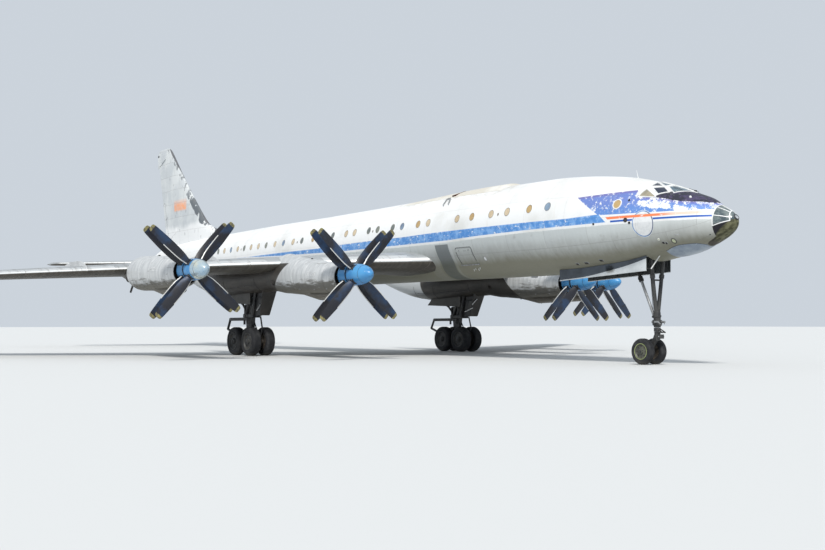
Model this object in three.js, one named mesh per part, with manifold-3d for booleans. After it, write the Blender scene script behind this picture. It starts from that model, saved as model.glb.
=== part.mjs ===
// A four-engined turboprop airliner with swept wings and contra-rotating propellers,
// built as a 1:2 scale model that stands on its landing gear.
// Every size below is in metres of the real aircraft. The group at the end turns them
// into millimetres of the model, with the nose towards -Y, the left side at +X and +Z up.
import * as THREE from 'three';
import { mergeVertices } from 'three/addons/utils/BufferGeometryUtils.js';
import Module from 'manifold-3d';

const wasm = await Module();
wasm.setup();

// Scale, and the gaps between pieces
const SCALE = 1 / 2;
const MODEL_MM = 1000 * SCALE;
const SEAT = 0.35 / MODEL_MM;
const BORE_PLAY = 0.75 / MODEL_MM;
const CLEAR = 7 / MODEL_MM;

// Main dimensions
const LENGTH = 54.0;
const CABIN_AXIS = 5.93;
const CABIN_RADIUS = 2.13;
const NOSE_RING = 1.21;
const NOSE_BREAK = 9.0;
const TAIL_BREAK = 30.0;

// Outline of the body: station, lowest, highest, half width
const BODY = [
  [0.00, 5.38, 5.60, 0.08], [0.10, 5.24, 5.76, 0.20], [0.35, 5.09, 5.95, 0.38],
  [0.75, 4.90, 6.17, 0.63], [1.21, 4.67, 6.48, 0.92], [1.76, 4.50, 6.69, 1.16],
  [2.75, 4.30, 7.05, 1.46], [3.78, 4.14, 7.36, 1.70], [5.00, 3.98, 7.65, 1.88],
  [6.40, 3.88, 7.85, 2.00], [7.60, 3.81, 7.97, 2.06], [9.40, 3.80, 8.06, 2.13],
  [14.6, 3.80, 8.06, 2.13], [19.0, 3.80, 7.97, 2.13], [25.0, 3.80, 7.87, 2.13],
  [29.0, 3.80, 7.82, 2.13], [34.0, 4.02, 7.79, 1.96], [39.5, 4.46, 7.71, 1.66],
  [44.0, 4.86, 7.64, 1.32], [48.0, 5.18, 7.50, 0.99], [51.5, 5.52, 7.30, 0.68],
  [53.3, 5.88, 6.95, 0.44], [54.0, 6.20, 6.55, 0.15],
];
const BODY_SIDES = 28;

// Wing: stations out from the middle, with the height of its chord plane and its thickness
const WING_SWEEP = 0.74;
const WING_EDGE = 15.44;
const WING_CHORD = 9.07;
const WING_TAPER = 0.2337;
const WING = [
  { x: 0.9, z: 4.72, thick: 1.12 },
  { x: 6.95, z: 4.58, thick: 0.86 },
  { x: 25.2, z: 3.73, thick: 0.28 },
];
const WING_TIP = 25.55;
const HINGE_LINE = 0.75;

// Tailplane, in the same form
const TAIL = [
  { x: 0.3, z: 5.98, thick: 0.62 },
  { x: 8.3, z: 5.88, thick: 0.24 },
];
const TAIL_EDGE = 46.25;
const TAIL_SWEEP = 0.64;
const TAIL_CHORD = 5.95;
const TAIL_TAPER = 0.45;
const TAIL_TIP = 8.5;
const TAIL_HINGE = 0.68;

// Fin: height, leading edge, trailing edge, thickness
const FIN = [
  { z: 6.6, front: 40.9, rear: 51.75, thick: 0.5 },
  { z: 8.17, front: 43.33, rear: 52.1, thick: 0.56 },
  { z: 8.77, front: 44.9, rear: 52.25, thick: 0.58 },
  { z: 14.3, front: 50.8, rear: 53.66, thick: 0.26 },
  { z: 14.85, front: 51.6, rear: 53.2, thick: 0.1 },
];
const RUDDER_HINGE = [
  { s: 49.84, z: 8.4, nose: 0.150, level: 2.26 },
  { s: 52.04, z: 14.05, nose: 0.075, level: 1.50 },
];

// Half an aerofoil: part of the chord from the front edge, part of the thickness
const AEROFOIL = [[0.012, 0.15], [0.05, 0.30], [0.16, 0.45], [0.36, 0.50], [0.62, 0.37]];
const REAR_EDGE = 0.011;

// Pins of the hinged surfaces, and the room that a surface is given in the fixed structure
const PIN = { radius: 0.03, share: 0.4, reach: 0.05, sides: 12 };
const SPACE = { behind: 0.6, half: 0.9 };
const NOSE_STEPS = 8;

// Engines: distance out, front propeller disc, thrust line, rest angles of the two sides
const ENGINES = [
  { name: 'inner', x: 6.95, disc: 15.23, z: 3.85, rest: { l: 45.0, r: 46.8 } },
  { name: 'outer', x: 12.99, disc: 19.15, z: 4.06, rest: { l: 47.0, r: 49.8 } },
];
const DISC_SPACING = 0.66;
const LIP_BEHIND_DISC = 0.38;
const PROPELLER_RADIUS = 2.8;
const SPINNER_RADIUS = 0.49;
const SPINNER_NOSE = 1.08;
const SHAFT_RADIUS = 0.10;
const SHAFT_SIDES = 24;
const BLADE_PITCH = { tip: 4, twist: 17 };

// Cowling: distance behind the lip, half height, half width, drop below the thrust line
const COWL = {
  inner: [[0, 0.60, 0.60, 0.06], [0.12, 0.68, 0.67, 0.08], [0.9, 0.75, 0.75, 0.10],
    [2.4, 0.83, 0.79, 0.02], [3.5, 0.885, 0.80, -0.065], [4.4, 0.94, 0.80, -0.18],
    [5.0, 0.975, 0.80, -0.255], [5.6, 0.905, 0.80, -0.245], [6.2, 0.74, 0.80, -0.17]],
  outer: [[0, 0.60, 0.60, 0.06], [0.12, 0.68, 0.67, 0.07], [0.9, 0.75, 0.75, 0.09],
    [2.4, 0.81, 0.79, 0.05], [3.5, 0.83, 0.80, 0.01], [4.5, 0.84, 0.80, -0.02],
    [5.1, 0.775, 0.77, -0.025], [5.25, 0.66, 0.66, -0.04], [6.2, 0.44, 0.50, -0.10],
    [7.6, 0.14, 0.20, -0.14]],
};
const COWL_SIDES = 20;

// Oil cooler under a cowling: distance behind the lip, half width, half height, drop
const OIL_COOLER = [[0.55, 0.30, 0.16, 0.86], [2.1, 0.34, 0.22, 0.88], [3.6, 0.20, 0.12, 0.70]];
const OIL_COOLER_SIDES = 12;

// Landing gear fairing behind the inner engine: station, half height, half width, height
const POD_FRONT = 22.47;
const POD = [
  [POD_FRONT + SEAT, 0.74, 0.80, 4.02], [25.4, 0.74, 0.82, 3.92], [27.4, 0.79, 0.84, 3.87],
  [29.2, 0.72, 0.76, 3.95], [31.0, 0.52, 0.55, 4.13], [32.4, 0.29, 0.30, 4.30],
  [33.2, 0.07, 0.08, 4.34],
];

// Main landing gear. A tyre has flat facets and rests on one of them.
const TYRE_SIDES = 20;
const FACET_SHARE = Math.cos(Math.PI / TYRE_SIDES);
const MAIN_WHEEL = { radius: 0.75, width: 0.5, track: 0.40, base: 0.80 };
const BOGIE = { x: 6.9, s: 25.45, z: MAIN_WHEEL.radius * FACET_SHARE };
const BEAM_HALF_WIDTH = 0.12;
const AXLE_RADIUS = 0.07;
const AXLE_SIDES = 20;
const LEG = {
  top: 3.4, knee: 1.75, foot: 1.06, lean: 0.45, radius: 0.17, footRadius: 0.11,
  brace: { radius: 0.06, top: 1.7, low: 0.1, height: 1.95 },
};
const LEG_DOOR = [{ s: 23.32, z: 3.6, half: 0.43 }, { s: 23.95, z: 2.06, half: 0.28 }];

// Nose landing gear
const STEERING = { s: 3.97, top: 2.12, collar: 1.50 };
const NOSE_WHEEL = { radius: 0.54, width: 0.32, track: 0.36, s: 4.42, z: 0.54 * FACET_SHARE };
const NOSE_AXLE_RADIUS = 0.06;
const NOSE_STRUT = { collar: 0.14, inner: 0.09, arm: 0.075, spread: 0.36, brace: 0.07 };
const WELL = { x: 0.8, front: 3.75, rear: 8.67, top: 4.75 };
const NOSE_DOOR = { x: 0.85, profile: [[3.75, 4.6], [8.67, 4.3], [8.67, 3.5], [3.75, 3.76]] };
const DOOR_THICK = 0.04;

// Joining and cutting solids
function toSolid(geometry) {
  const shape = geometry.clone();
  shape.deleteAttribute('normal');
  shape.deleteAttribute('uv');
  const merged = mergeVertices(shape, 1e-6);
  const points = merged.attributes.position.array;
  const corners = merged.index.array;
  const kept = [];
  let volume = 0;
  for (let i = 0; i < corners.length; i += 3) {
    const [a, b, c] = [corners[i], corners[i + 1], corners[i + 2]];
    if (a === b || b === c || c === a) continue;
    kept.push(a, b, c);
    const [p, q, r] = [a, b, c].map((k) => new THREE.Vector3().fromArray(points, 3 * k));
    volume += p.dot(q.cross(r));
  }
  if (volume < 0) kept.reverse();
  return new wasm.Manifold(new wasm.Mesh({
    numProp: 3,
    vertProperties: new Float32Array(points),
    triVerts: new Uint32Array(kept),
  }));
}

function toGeometry(solid) {
  const { vertProperties, triVerts } = solid.getMesh();
  const geometry = new THREE.BufferGeometry();
  geometry.setAttribute('position', new THREE.BufferAttribute(vertProperties, 3));
  geometry.setIndex(new THREE.BufferAttribute(triVerts, 1));
  return geometry;
}

const join = (...solids) => solids.reduce((all, next) => all.add(next));
const cut = (solid, ...tools) => tools.reduce((rest, tool) => rest.subtract(tool), solid);

// Basic shapes. A point is [across, station, height].
function loft(rings) {
  const count = rings[0].length;
  const positions = rings.flat(2);
  const corners = [];
  for (let i = 0; i + 1 < rings.length; i += 1) {
    for (let j = 0; j < count; j += 1) {
      const a = i * count + j;
      const b = i * count + (j + 1) % count;
      corners.push(a, b, a + count, b, b + count, a + count);
    }
  }
  for (const i of [0, rings.length - 1]) {
    const middle = positions.length / 3;
    for (const k of [0, 1, 2]) positions.push(rings[i].reduce((sum, p) => sum + p[k], 0) / count);
    for (let j = 0; j < count; j += 1) {
      const pair = [i * count + j, i * count + (j + 1) % count];
      if (i === 0) pair.reverse();
      corners.push(...pair, middle);
    }
  }
  const geometry = new THREE.BufferGeometry();
  geometry.setAttribute('position', new THREE.Float32BufferAttribute(positions, 3));
  geometry.setIndex(corners);
  return toSolid(geometry);
}

function ellipse(x, s, z, halfWidth, halfHeight, sides) {
  return Array.from({ length: sides }, (_, i) => {
    const turn = (2 * Math.PI * i) / sides;
    return [x + halfWidth * Math.cos(turn), s, z + halfHeight * Math.sin(turn)];
  });
}

function box(low, high) {
  const size = high.map((value, i) => value - low[i]);
  const middle = high.map((value, i) => (value + low[i]) / 2);
  return toSolid(new THREE.BoxGeometry(...size).translate(...middle));
}

function rod(from, to, radius, sides = 16) {
  const [a, b] = [new THREE.Vector3(...from), new THREE.Vector3(...to)];
  const line = b.clone().sub(a);
  const shape = new THREE.CylinderGeometry(radius, radius, line.length(), sides);
  const up = new THREE.Vector3(0, 1, 0);
  shape.applyQuaternion(new THREE.Quaternion().setFromUnitVectors(up, line.clone().normalize()));
  const middle = a.add(b).multiplyScalar(0.5);
  return toSolid(shape.translate(middle.x, middle.y, middle.z));
}

// A side profile of [station, height] points, carried across from one side to the other
function slab(profile, from, to) {
  return loft([from, to].map((x) => profile.map(([s, z]) => [x, s, z])));
}

// A profile of [radius, distance along] points, turned about the X or Y axis
function turned(profile, axis, sides) {
  const shape = new THREE.LatheGeometry(profile.map(([r, d]) => new THREE.Vector2(r, d)), sides);
  if (axis === 'x') shape.rotateZ(-Math.PI / 2);
  return toSolid(shape);
}

// Body
function bodyPart(from, to, grow = 0) {
  const row = (s) => {
    const next = Math.max(1, BODY.findIndex((r) => r[0] >= s));
    const [a, b] = [BODY[next - 1], BODY[next]];
    const t = (s - a[0]) / (b[0] - a[0]);
    return a.map((value, i) => value + t * (b[i] - value));
  };
  const inside = BODY.map((r) => r[0]).filter((s) => s > from && s < to);
  return loft([from, ...inside, to].map((s) => {
    const [, low, high, half] = row(s);
    const halfHeight = (high - low) / 2;
    return ellipse(0, s, (high + low) / 2, half + grow, halfHeight + grow, BODY_SIDES);
  }));
}

const WINDSCREEN = [[1.80, 6.50], [3.95, 6.72], [3.60, 7.9], [1.80, 7.9]];
const RADOME = [[1.35, 4.2], [3.1, 4.0], [3.1, 4.62], [1.35, 4.88]];
const RADOME_HALF_WIDTH = 0.62;

// Panels set in the side of the body: side, stations, heights, depth
const HATCH = { side: -1, front: 13.4, rear: 14.5, low: 4.42, high: 5.16, depth: 0.14 };
const DOOR = { side: 1, low: 5.0, high: 6.75, depth: 0.14 };
const CABIN_DOORS = [
  { ...DOOR, name: 'passenger_door_front', front: 9.45, rear: 10.35 },
  { ...DOOR, name: 'passenger_door_rear', front: 28.0, rear: 28.9 },
];
const HATCH_PIN = { out: 2.17, barrel: 0.028, radius: 0.016, lug: 0.05, overhang: 0.04, foot: 2.08 };
const SHELL = { steps: 6, outside: 0.3 };

const panelAngle = (z) => Math.asin((z - CABIN_AXIS) / CABIN_RADIUS);
const onCircle = (side, radius, angle) => [
  side * radius * Math.cos(angle), CABIN_AXIS + radius * Math.sin(angle)];

// A flat outline of [across, height] points, carried along from one station to another
const along = (outline, from, to) => loft([from, to].map((s) => outline.map(([x, z]) => [x, s, z])));

function sideShell({ side, front, rear, low, high, depth }, margin) {
  const spare = margin / CABIN_RADIUS;
  const [start, end] = [panelAngle(low) - spare, panelAngle(high) + spare];
  const { steps, outside } = SHELL;
  const arc = (radius) => Array.from({ length: steps + 1 }, (_, i) => (
    onCircle(side, radius, start + (i / steps) * (end - start))));
  const outline = [...arc(CABIN_RADIUS + outside), ...arc(CABIN_RADIUS - depth - margin).reverse()];
  return along(outline, front - margin, rear + margin);
}

// The hatch turns down about a pin below it, held by two lugs on the body
function hatchHinge() {
  const { side, front, rear, low } = HATCH;
  const { out, barrel, radius, lug, overhang, foot } = HATCH_PIN;
  const turn = panelAngle(low);
  const [x, z] = onCircle(side, out, turn);
  const bar = (reach, r, sides = 12) => rod([x, front - reach, z], [x, rear + reach, z], r, sides);
  const strap = along([
    onCircle(side, out + 0.01, turn), onCircle(side, out - 0.015, turn + 0.002),
    onCircle(side, foot, turn + 0.03), onCircle(side, foot, turn + 0.06),
  ], front, rear);
  const outline = [
    onCircle(side, out + 0.03, turn + 0.015), onCircle(side, out + 0.03, turn - 0.015),
    onCircle(side, foot, turn - 0.02), onCircle(side, foot, turn + 0.02),
  ];
  const near = overhang + CLEAR;
  const lugs = [[front - near - lug, front - near], [rear + near, rear + near + lug]].map(([from, to]) => (
    along(outline, from, to)));
  const bore = bar(near + lug + 0.01, radius + BORE_PLAY);
  return { moving: join(bar(overhang, barrel), bar(near + lug, radius), strap), lugs, bore };
}

// Aerofoil sections across the wing or tailplane
function section(x, front, chord, z, thick, grow = 0) {
  const side = (sign) => AEROFOIL.map(([a, h]) => (
    [x, front + a * chord, z + sign * (h * thick + grow)]));
  const [rear, edge] = [front + chord, REAR_EDGE + grow];
  return [[x, front, z], ...side(1), [x, rear, z + edge], [x, rear, z - edge],
    ...side(-1).reverse()];
}

function planform(rows, edge, sweep, chord, taper, tip) {
  const front = (x) => edge + sweep * x;
  const length = (x) => chord - taper * x;
  const at = (x) => {
    const next = Math.max(1, rows.findIndex((r) => r.x >= x));
    const [a, b] = [rows[next - 1], rows[next]];
    const t = (x - a.x) / (b.x - a.x);
    return { z: a.z + t * (b.z - a.z), thick: a.thick + t * (b.thick - a.thick) };
  };
  const solid = (side, grow = 0) => {
    const rings = rows.map((r) => {
      const [edge, chordLength] = [front(r.x) - 2 * grow, length(r.x) + 4 * grow];
      return section(side * r.x, edge, chordLength, r.z, r.thick, 1.3 * grow);
    });
    const last = rows[rows.length - 1];
    const rounded = section(side * tip, front(tip) + 0.25 * length(tip), 0.62 * length(tip), last.z,
      0.3 * last.thick);
    return loft([...rings, rounded]);
  };
  return { front, length, at, solid };
}

const wing = planform(WING, WING_EDGE, WING_SWEEP, WING_CHORD, WING_TAPER, WING_TIP);
const tailplane = planform(TAIL, TAIL_EDGE, TAIL_SWEEP, TAIL_CHORD, TAIL_TAPER, TAIL_TIP);

// A hinged surface between two points of a hinge line. Its ends are square to the hinge, its
// nose is round about it, and each end has a pin that runs in a bore of the fixed structure.
function hinged({ from, to, noseFrom, noseTo, reachFrom, reachTo }) {
  const [a, b] = [new THREE.Vector3(...from), new THREE.Vector3(...to)];
  const axis = b.clone().sub(a).normalize();
  const length = a.distanceTo(b);
  const aft = new THREE.Vector3(0, 1, 0);
  const back = aft.sub(axis.clone().multiplyScalar(aft.dot(axis))).normalize();
  const up = back.clone().cross(axis).normalize();
  const place = (t, p, n) => a.clone().addScaledVector(axis, t).addScaledVector(back, p)
    .addScaledVector(up, n).toArray();
  const nose = (t) => noseFrom + (noseTo - noseFrom) * (t / length);
  const reach = (t) => reachFrom + (reachTo - reachFrom) * (t / length);
  const ring = (t) => {
    const round = Array.from({ length: NOSE_STEPS + 1 }, (_, i) => {
      const turn = Math.PI / 2 + (Math.PI * i) / NOSE_STEPS;
      return place(t, nose(t) * Math.cos(turn), nose(t) * Math.sin(turn));
    });
    return [...round, place(t, reach(t), -REAR_EDGE), place(t, reach(t), REAR_EDGE)];
  };
  const pinRadius = Math.min(PIN.radius, PIN.share * Math.min(noseFrom, noseTo));
  const bar = (t, u, radius) => rod(place(t, 0, 0), place(u, 0, 0), radius, PIN.sides);
  const pins = [bar(-PIN.reach, 0.02, pinRadius), bar(length - 0.02, length + PIN.reach, pinRadius)];
  const bores = [
    bar(-PIN.reach - CLEAR, 0, pinRadius + BORE_PLAY),
    bar(length, length + PIN.reach + CLEAR, pinRadius + BORE_PLAY),
  ];
  const outline = [
    [-CLEAR, -nose(0) - CLEAR], [length + CLEAR, -nose(length) - CLEAR],
    [length + CLEAR, reach(length) + SPACE.behind], [-CLEAR, reach(0) + SPACE.behind],
  ];
  const levels = [-SPACE.half, SPACE.half];
  const space = loft(levels.map((n) => outline.map(([t, p]) => place(t, p, n))));
  return { solid: join(loft([ring(0), ring(length)]), ...pins), space, bores };
}

// Where a hinge line and the rear edge of a planform lie, seen square to the hinge
function surfaceOf(shape, line, side, x1, x2) {
  const halfAt = (x) => {
    const [a, b] = [AEROFOIL[AEROFOIL.length - 1], [1, 0]];
    const t = (line - a[0]) / (b[0] - a[0]);
    return shape.at(x).thick * a[1] * (1 - t);
  };
  const point = (x) => [side * x, shape.front(x) + line * shape.length(x), shape.at(x).z];
  const [p, q] = [point(x1), point(x2)];
  const across = Math.abs(q[0] - p[0]);
  const slope = (q[1] - p[1]) / across;
  const rearSlope = (shape.front(1) + shape.length(1)) - (shape.front(0) + shape.length(0));
  const reachAt = (x) => {
    const behind = (1 - line) * shape.length(x);
    return (behind * Math.hypot(1, slope)) / (1 + slope * rearSlope);
  };
  return hinged({
    from: p, to: q,
    noseFrom: halfAt(x1), noseTo: halfAt(x2),
    reachFrom: reachAt(x1), reachTo: reachAt(x2),
  });
}

// Surfaces on each wing: name, inner and outer end of the hinge line
const WING_SURFACES = [
  { name: 'flap_inner', x1: 2.75, x2: 6.0 },
  { name: 'flap_outer', x1: 8.85, x2: 15.6 },
  { name: 'aileron', x1: 15.85, x2: 24.6 },
];
const ELEVATOR = { x1: 1.5, x2: 8.0 };
const FENCES = [10.0, 15.2];
const FENCE = { thick: 0.03, rise: 0.32, front: 0.2, rear: 0.08 };

function fence(side, x) {
  const [front, chord, { z, thick }] = [wing.front(x), wing.length(x), wing.at(x)];
  const top = z + thick / 2 + FENCE.rise;
  const profile = [
    [front + 0.02 * chord, z], [front + 0.05 * chord, top - FENCE.front], [front + 0.2 * chord, top],
    [front + 0.6 * chord, top - FENCE.rear], [front + 0.68 * chord, z],
  ];
  return slab(profile, side * x - FENCE.thick / 2, side * x + FENCE.thick / 2);
}

// Fin sections lie flat, at a height
function finSolid() {
  const ring = ({ z, front, rear, thick }) => (
    section(z, front, rear - front, 0, thick).map(([height, s, across]) => [across, s, height]));
  return loft(FIN.map(ring));
}

function rudderSurface() {
  const [low, high] = RUDDER_HINGE;
  const lean = Math.atan2(high.s - low.s, high.z - low.z);
  return hinged({
    from: [0, low.s, low.z], to: [0, high.s, high.z],
    noseFrom: low.nose, noseTo: high.nose,
    reachFrom: low.level * Math.cos(lean), reachTo: high.level * Math.cos(lean),
  });
}

// Propeller: one half of the spinner and four tapered blades
const BLADE = [
  { r: 0.30, chord: 0.24, thick: 0.20 },
  { r: 0.70, chord: 0.36, thick: 0.12 },
  { r: 1.60, chord: 0.48, thick: 0.06 },
  { r: 2.50, chord: 0.38, thick: 0.035 },
  { r: PROPELLER_RADIUS, chord: 0.22, thick: 0.02 },
];
const HUB_HALF = 0.30;

function blade(hand) {
  const ring = ({ r, chord, thick }) => {
    const twist = BLADE_PITCH.twist * (1 - r / PROPELLER_RADIUS);
    const pitch = THREE.MathUtils.degToRad(BLADE_PITCH.tip + twist);
    const outline = [[0.5, 0], [0, 0.5], [-0.5, 0], [0, -0.5]];
    return outline.map(([u, v]) => {
      const [a, b] = [u * chord, v * thick];
      const across = a * Math.cos(pitch) - b * Math.sin(pitch);
      const forward = a * Math.sin(pitch) + b * Math.cos(pitch);
      return [r, hand * forward, across];
    });
  };
  return loft(BLADE.map(ring));
}

function propeller(isFront) {
  const hub = isFront
    ? [[0, -SPINNER_NOSE], [0.22, -0.92], [0.41, -0.52], [SPINNER_RADIUS, HUB_HALF], [0, HUB_HALF]]
    : [[0, -HUB_HALF], [SPINNER_RADIUS, -HUB_HALF], [SPINNER_RADIUS + 0.02, HUB_HALF], [0, HUB_HALF]];
  const spinner = turned(hub, 'y', COWL_SIDES);
  const blades = [0, 1, 2, 3].map((i) => blade(isFront ? -1 : 1).rotate([0, 90 * i, 0]));
  const reach = isFront ? -0.1 : -1;
  const bore = rod([0, reach, 0], [0, 1, 0], SHAFT_RADIUS + BORE_PLAY, SHAFT_SIDES);
  return cut(join(spinner, ...blades), bore);
}

function shaft(engine, side) {
  const lip = lipStation(engine);
  return rod([side * engine.x, engine.disc - 0.08, engine.z], [side * engine.x, lip + 0.1, engine.z],
    SHAFT_RADIUS, SHAFT_SIDES);
}

const lipStation = (engine) => engine.disc + DISC_SPACING + LIP_BEHIND_DISC;

function cowling(engine, side) {
  return loft(COWL[engine.name].map(([behind, halfHeight, halfWidth, drop]) => (
    ellipse(side * engine.x, lipStation(engine) + behind, engine.z - drop, halfWidth, halfHeight,
      COWL_SIDES))));
}

function oilCooler(engine, side) {
  const [x, lip, z] = [side * engine.x, lipStation(engine), engine.z];
  return loft(OIL_COOLER.map(([behind, halfWidth, halfHeight, drop]) => (
    ellipse(x, lip + behind, z - drop, halfWidth, halfHeight, OIL_COOLER_SIDES))));
}

function pod(side, grow = 0) {
  return loft(POD.map(([s, halfHeight, halfWidth, z]) => (
    ellipse(side * ENGINES[0].x, s, z, halfWidth + grow, halfHeight + grow, COWL_SIDES))));
}

// Half the outline of a wheel: part of the width from the middle, part of the radius
const TYRE = [[0.5, 0], [0.5, 0.86], [0.3, 1]];

// Two wheels on a common axle, turned about X, with a facet of each tyre level below
function wheelPair({ radius, width, track }, axle) {
  const wheel = (side) => {
    const at = (across, share) => [share * radius, side * track + across * width];
    const outer = TYRE.map(([across, share]) => at(across, share));
    const inner = TYRE.map(([across, share]) => at(-across, share));
    return turned([...inner, ...outer.reverse()], 'x', TYRE_SIDES)
      .rotate([180 / TYRE_SIDES, 0, 0]);
  };
  const half = track + width / 2 + 0.04;
  return join(wheel(-1), wheel(1), rod([-half, 0, 0], [half, 0, 0], axle, AXLE_SIDES));
}

// Main landing gear leg and its rear brace. With some growth it is the socket in the fairing.
function mainLeg(side, grow = 0) {
  const [x, s] = [side * BOGIE.x, BOGIE.s];
  const top = LEG.top + grow;
  const upper = rod([x, s - LEG.lean, top], [x, s, LEG.knee], LEG.radius + grow);
  const lower = rod([x, s, LEG.knee + 0.1], [x, s, LEG.foot], LEG.footRadius);
  const { radius, height, ...brace } = LEG.brace;
  const bar = rod([x, s + brace.top, top], [x, s + brace.low, height], radius + grow, 12);
  return join(upper, lower, bar);
}

function bogieBeam(side) {
  const { s, z } = BOGIE;
  const x = side * BOGIE.x;
  const { base } = MAIN_WHEEL;
  const profile = [
    [s - base - 0.2, z - 0.10], [s - base - 0.2, z + 0.10], [s - base, z + 0.16], [s, z + 0.2],
    [s + base, z + 0.16], [s + base + 0.2, z + 0.10], [s + base + 0.2, z - 0.10], [s, z - 0.2],
  ];
  const body = slab(profile, x - BEAM_HALF_WIDTH, x + BEAM_HALF_WIDTH);
  const boss = rod([x, s, z], [x, s, LEG.foot - SEAT], LEG.footRadius);
  const bores = [-base, base].map((offset) => rod([x - 1, s + offset, z], [x + 1, s + offset, z],
    AXLE_RADIUS + BORE_PLAY, AXLE_SIDES));
  return cut(join(body, boss), ...bores);
}

// Panel across, in front of the leg, from inside the fairing down
function legDoor(side) {
  const x = side * BOGIE.x;
  return loft(LEG_DOOR.map(({ s, z, half }) => [
    [x - half, s, z], [x + half, s, z], [x + half, s + DOOR_THICK, z], [x - half, s + DOOR_THICK, z],
  ]));
}

// Nose landing gear pieces, cut off at the ceiling of the well
const aboveWell = box([-2, 0, WELL.top - SEAT], [2, NOSE_BREAK, NOSE_BREAK]);

function noseLeg() {
  const { s, top, collar } = STEERING;
  const arms = [-1, 1].map((side) => (
    rod([side * NOSE_STRUT.spread, s - 0.02, WELL.top + 0.2], [0, s, top - 0.02], NOSE_STRUT.arm)));
  const body = rod([0, s, collar], [0, s, top + 0.1], NOSE_STRUT.collar, 20);
  const bore = rod([0, s, collar - 0.1], [0, s, top - 0.06], NOSE_STRUT.inner + BORE_PLAY, 24);
  return cut(join(body, ...arms), bore, aboveWell);
}

function noseBrace() {
  const { s } = STEERING;
  const bar = rod([0, s + 0.1, 1.85], [0, s + 1.55, WELL.top + 0.3], NOSE_STRUT.brace);
  const collar = rod([0, s, 1.2], [0, s, 2.5], NOSE_STRUT.collar + SEAT, 20);
  return cut(bar, collar, aboveWell);
}

function noseSteering() {
  const { s, top, collar } = STEERING;
  const wheel = NOSE_WHEEL;
  const strut = rod([0, s, 1.0], [0, s, top - 0.08], NOSE_STRUT.inner, 24);
  const flange = rod([0, s, collar - CLEAR - 0.14], [0, s, collar - CLEAR], NOSE_STRUT.collar, 20);
  const arm = slab([
    [s - 0.14, 1.28], [s + 0.16, 1.28], [wheel.s + 0.13, wheel.z + 0.12],
    [wheel.s + 0.13, wheel.z - 0.12], [wheel.s - 0.12, wheel.z - 0.12], [s - 0.14, 0.98],
  ], -0.13, 0.13);
  const towLug = box([-0.11, s - 0.26, 1.05], [0.11, s - 0.1, 1.22]);
  const bore = rod([-1, wheel.s, wheel.z], [1, wheel.s, wheel.z], NOSE_AXLE_RADIUS + BORE_PLAY,
    AXLE_SIDES);
  return cut(join(strut, flange, arm, towLug), bore);
}

function noseDoor(side) {
  const x = side * NOSE_DOOR.x;
  return slab(NOSE_DOOR.profile, x - DOOR_THICK / 2, x + DOOR_THICK / 2);
}

// Jacking pads: flat round faces under the wings and the body
const PAD_RADIUS = 0.14;
const WING_PAD = { x: 10.6, s: 25.6, face: 3.98 };
const BODY_PADS = [{ s: 11.2, face: 3.74 }, { s: 41.0, face: 4.5 }];
const jackPad = (x, s, face, up) => rod([x, s, face], [x, s, face + up], PAD_RADIUS, 24);

// Finishes
const finish = (color, roughness, metalness) => (
  new THREE.MeshStandardMaterial({ color, roughness, metalness }));
const WHITE = finish(0xe9ebec, 0.5, 0.1);
const METAL = finish(0xb9bec2, 0.45, 0.7);
const GLASS = finish(0x39443f, 0.15, 0.2);
const BLACK = finish(0x20242a, 0.55, 0.1);
const STEEL = finish(0x4f555a, 0.5, 0.6);
const RUBBER = finish(0x26272a, 0.9, 0);

const aircraft = new THREE.Group();

function add(name, solid, material, position = [0, 0, 0], turn = 0) {
  const piece = new THREE.Mesh(toGeometry(solid), material);
  piece.name = name;
  piece.position.set(...position);
  piece.rotation.y = turn;
  aircraft.add(piece);
}

// Body, in the sections it is built in
const noseCone = bodyPart(0, NOSE_RING - SEAT);
const noseWhole = bodyPart(NOSE_RING, NOSE_BREAK - SEAT);
const windscreen = noseWhole.intersect(slab(WINDSCREEN, -2, 2));
const radome = noseWhole.intersect(slab(RADOME, -RADOME_HALF_WIDTH, RADOME_HALF_WIDTH));
const well = box([-WELL.x, WELL.front, 3], [WELL.x, WELL.rear, WELL.top]);

const grownProfile = (profile) => {
  const middle = [0, 1].map((k) => profile.reduce((sum, p) => sum + p[k], 0) / profile.length);
  return profile.map((point) => point.map((value, k) => value + Math.sign(value - middle[k]) * SEAT));
};
const radomeGap = RADOME_HALF_WIDTH + SEAT;
const noseSection = cut(noseWhole, slab(grownProfile(WINDSCREEN), -3, 3),
  slab(grownProfile(RADOME), -radomeGap, radomeGap), well);
const bodySkin = bodyPart(NOSE_BREAK - 1, 53.9, SEAT);

const cabinWhole = bodyPart(NOSE_BREAK, TAIL_BREAK - SEAT);
const hatch = hatchHinge();
const [cabinPad, tailPad] = BODY_PADS.map(({ s, face }) => jackPad(0, s, face, 0.6));

add('nose_glazing', noseCone, GLASS);
add('windscreen', windscreen, GLASS);
add('chin_radome', radome, METAL);
add('nose_section', noseSection, WHITE);
add('cabin_section', cut(join(cabinWhole, cabinPad, ...hatch.lugs), hatch.bore,
  sideShell(HATCH, CLEAR), ...CABIN_DOORS.map((door) => sideShell(door, SEAT))), WHITE);
add('tail_section', join(bodyPart(TAIL_BREAK, LENGTH), tailPad), WHITE);
add('cargo_hatch', join(sideShell(HATCH, 0).intersect(cabinWhole), hatch.moving), METAL);
CABIN_DOORS.forEach((door) => add(door.name, sideShell(door, 0).intersect(cabinWhole), WHITE));

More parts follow.
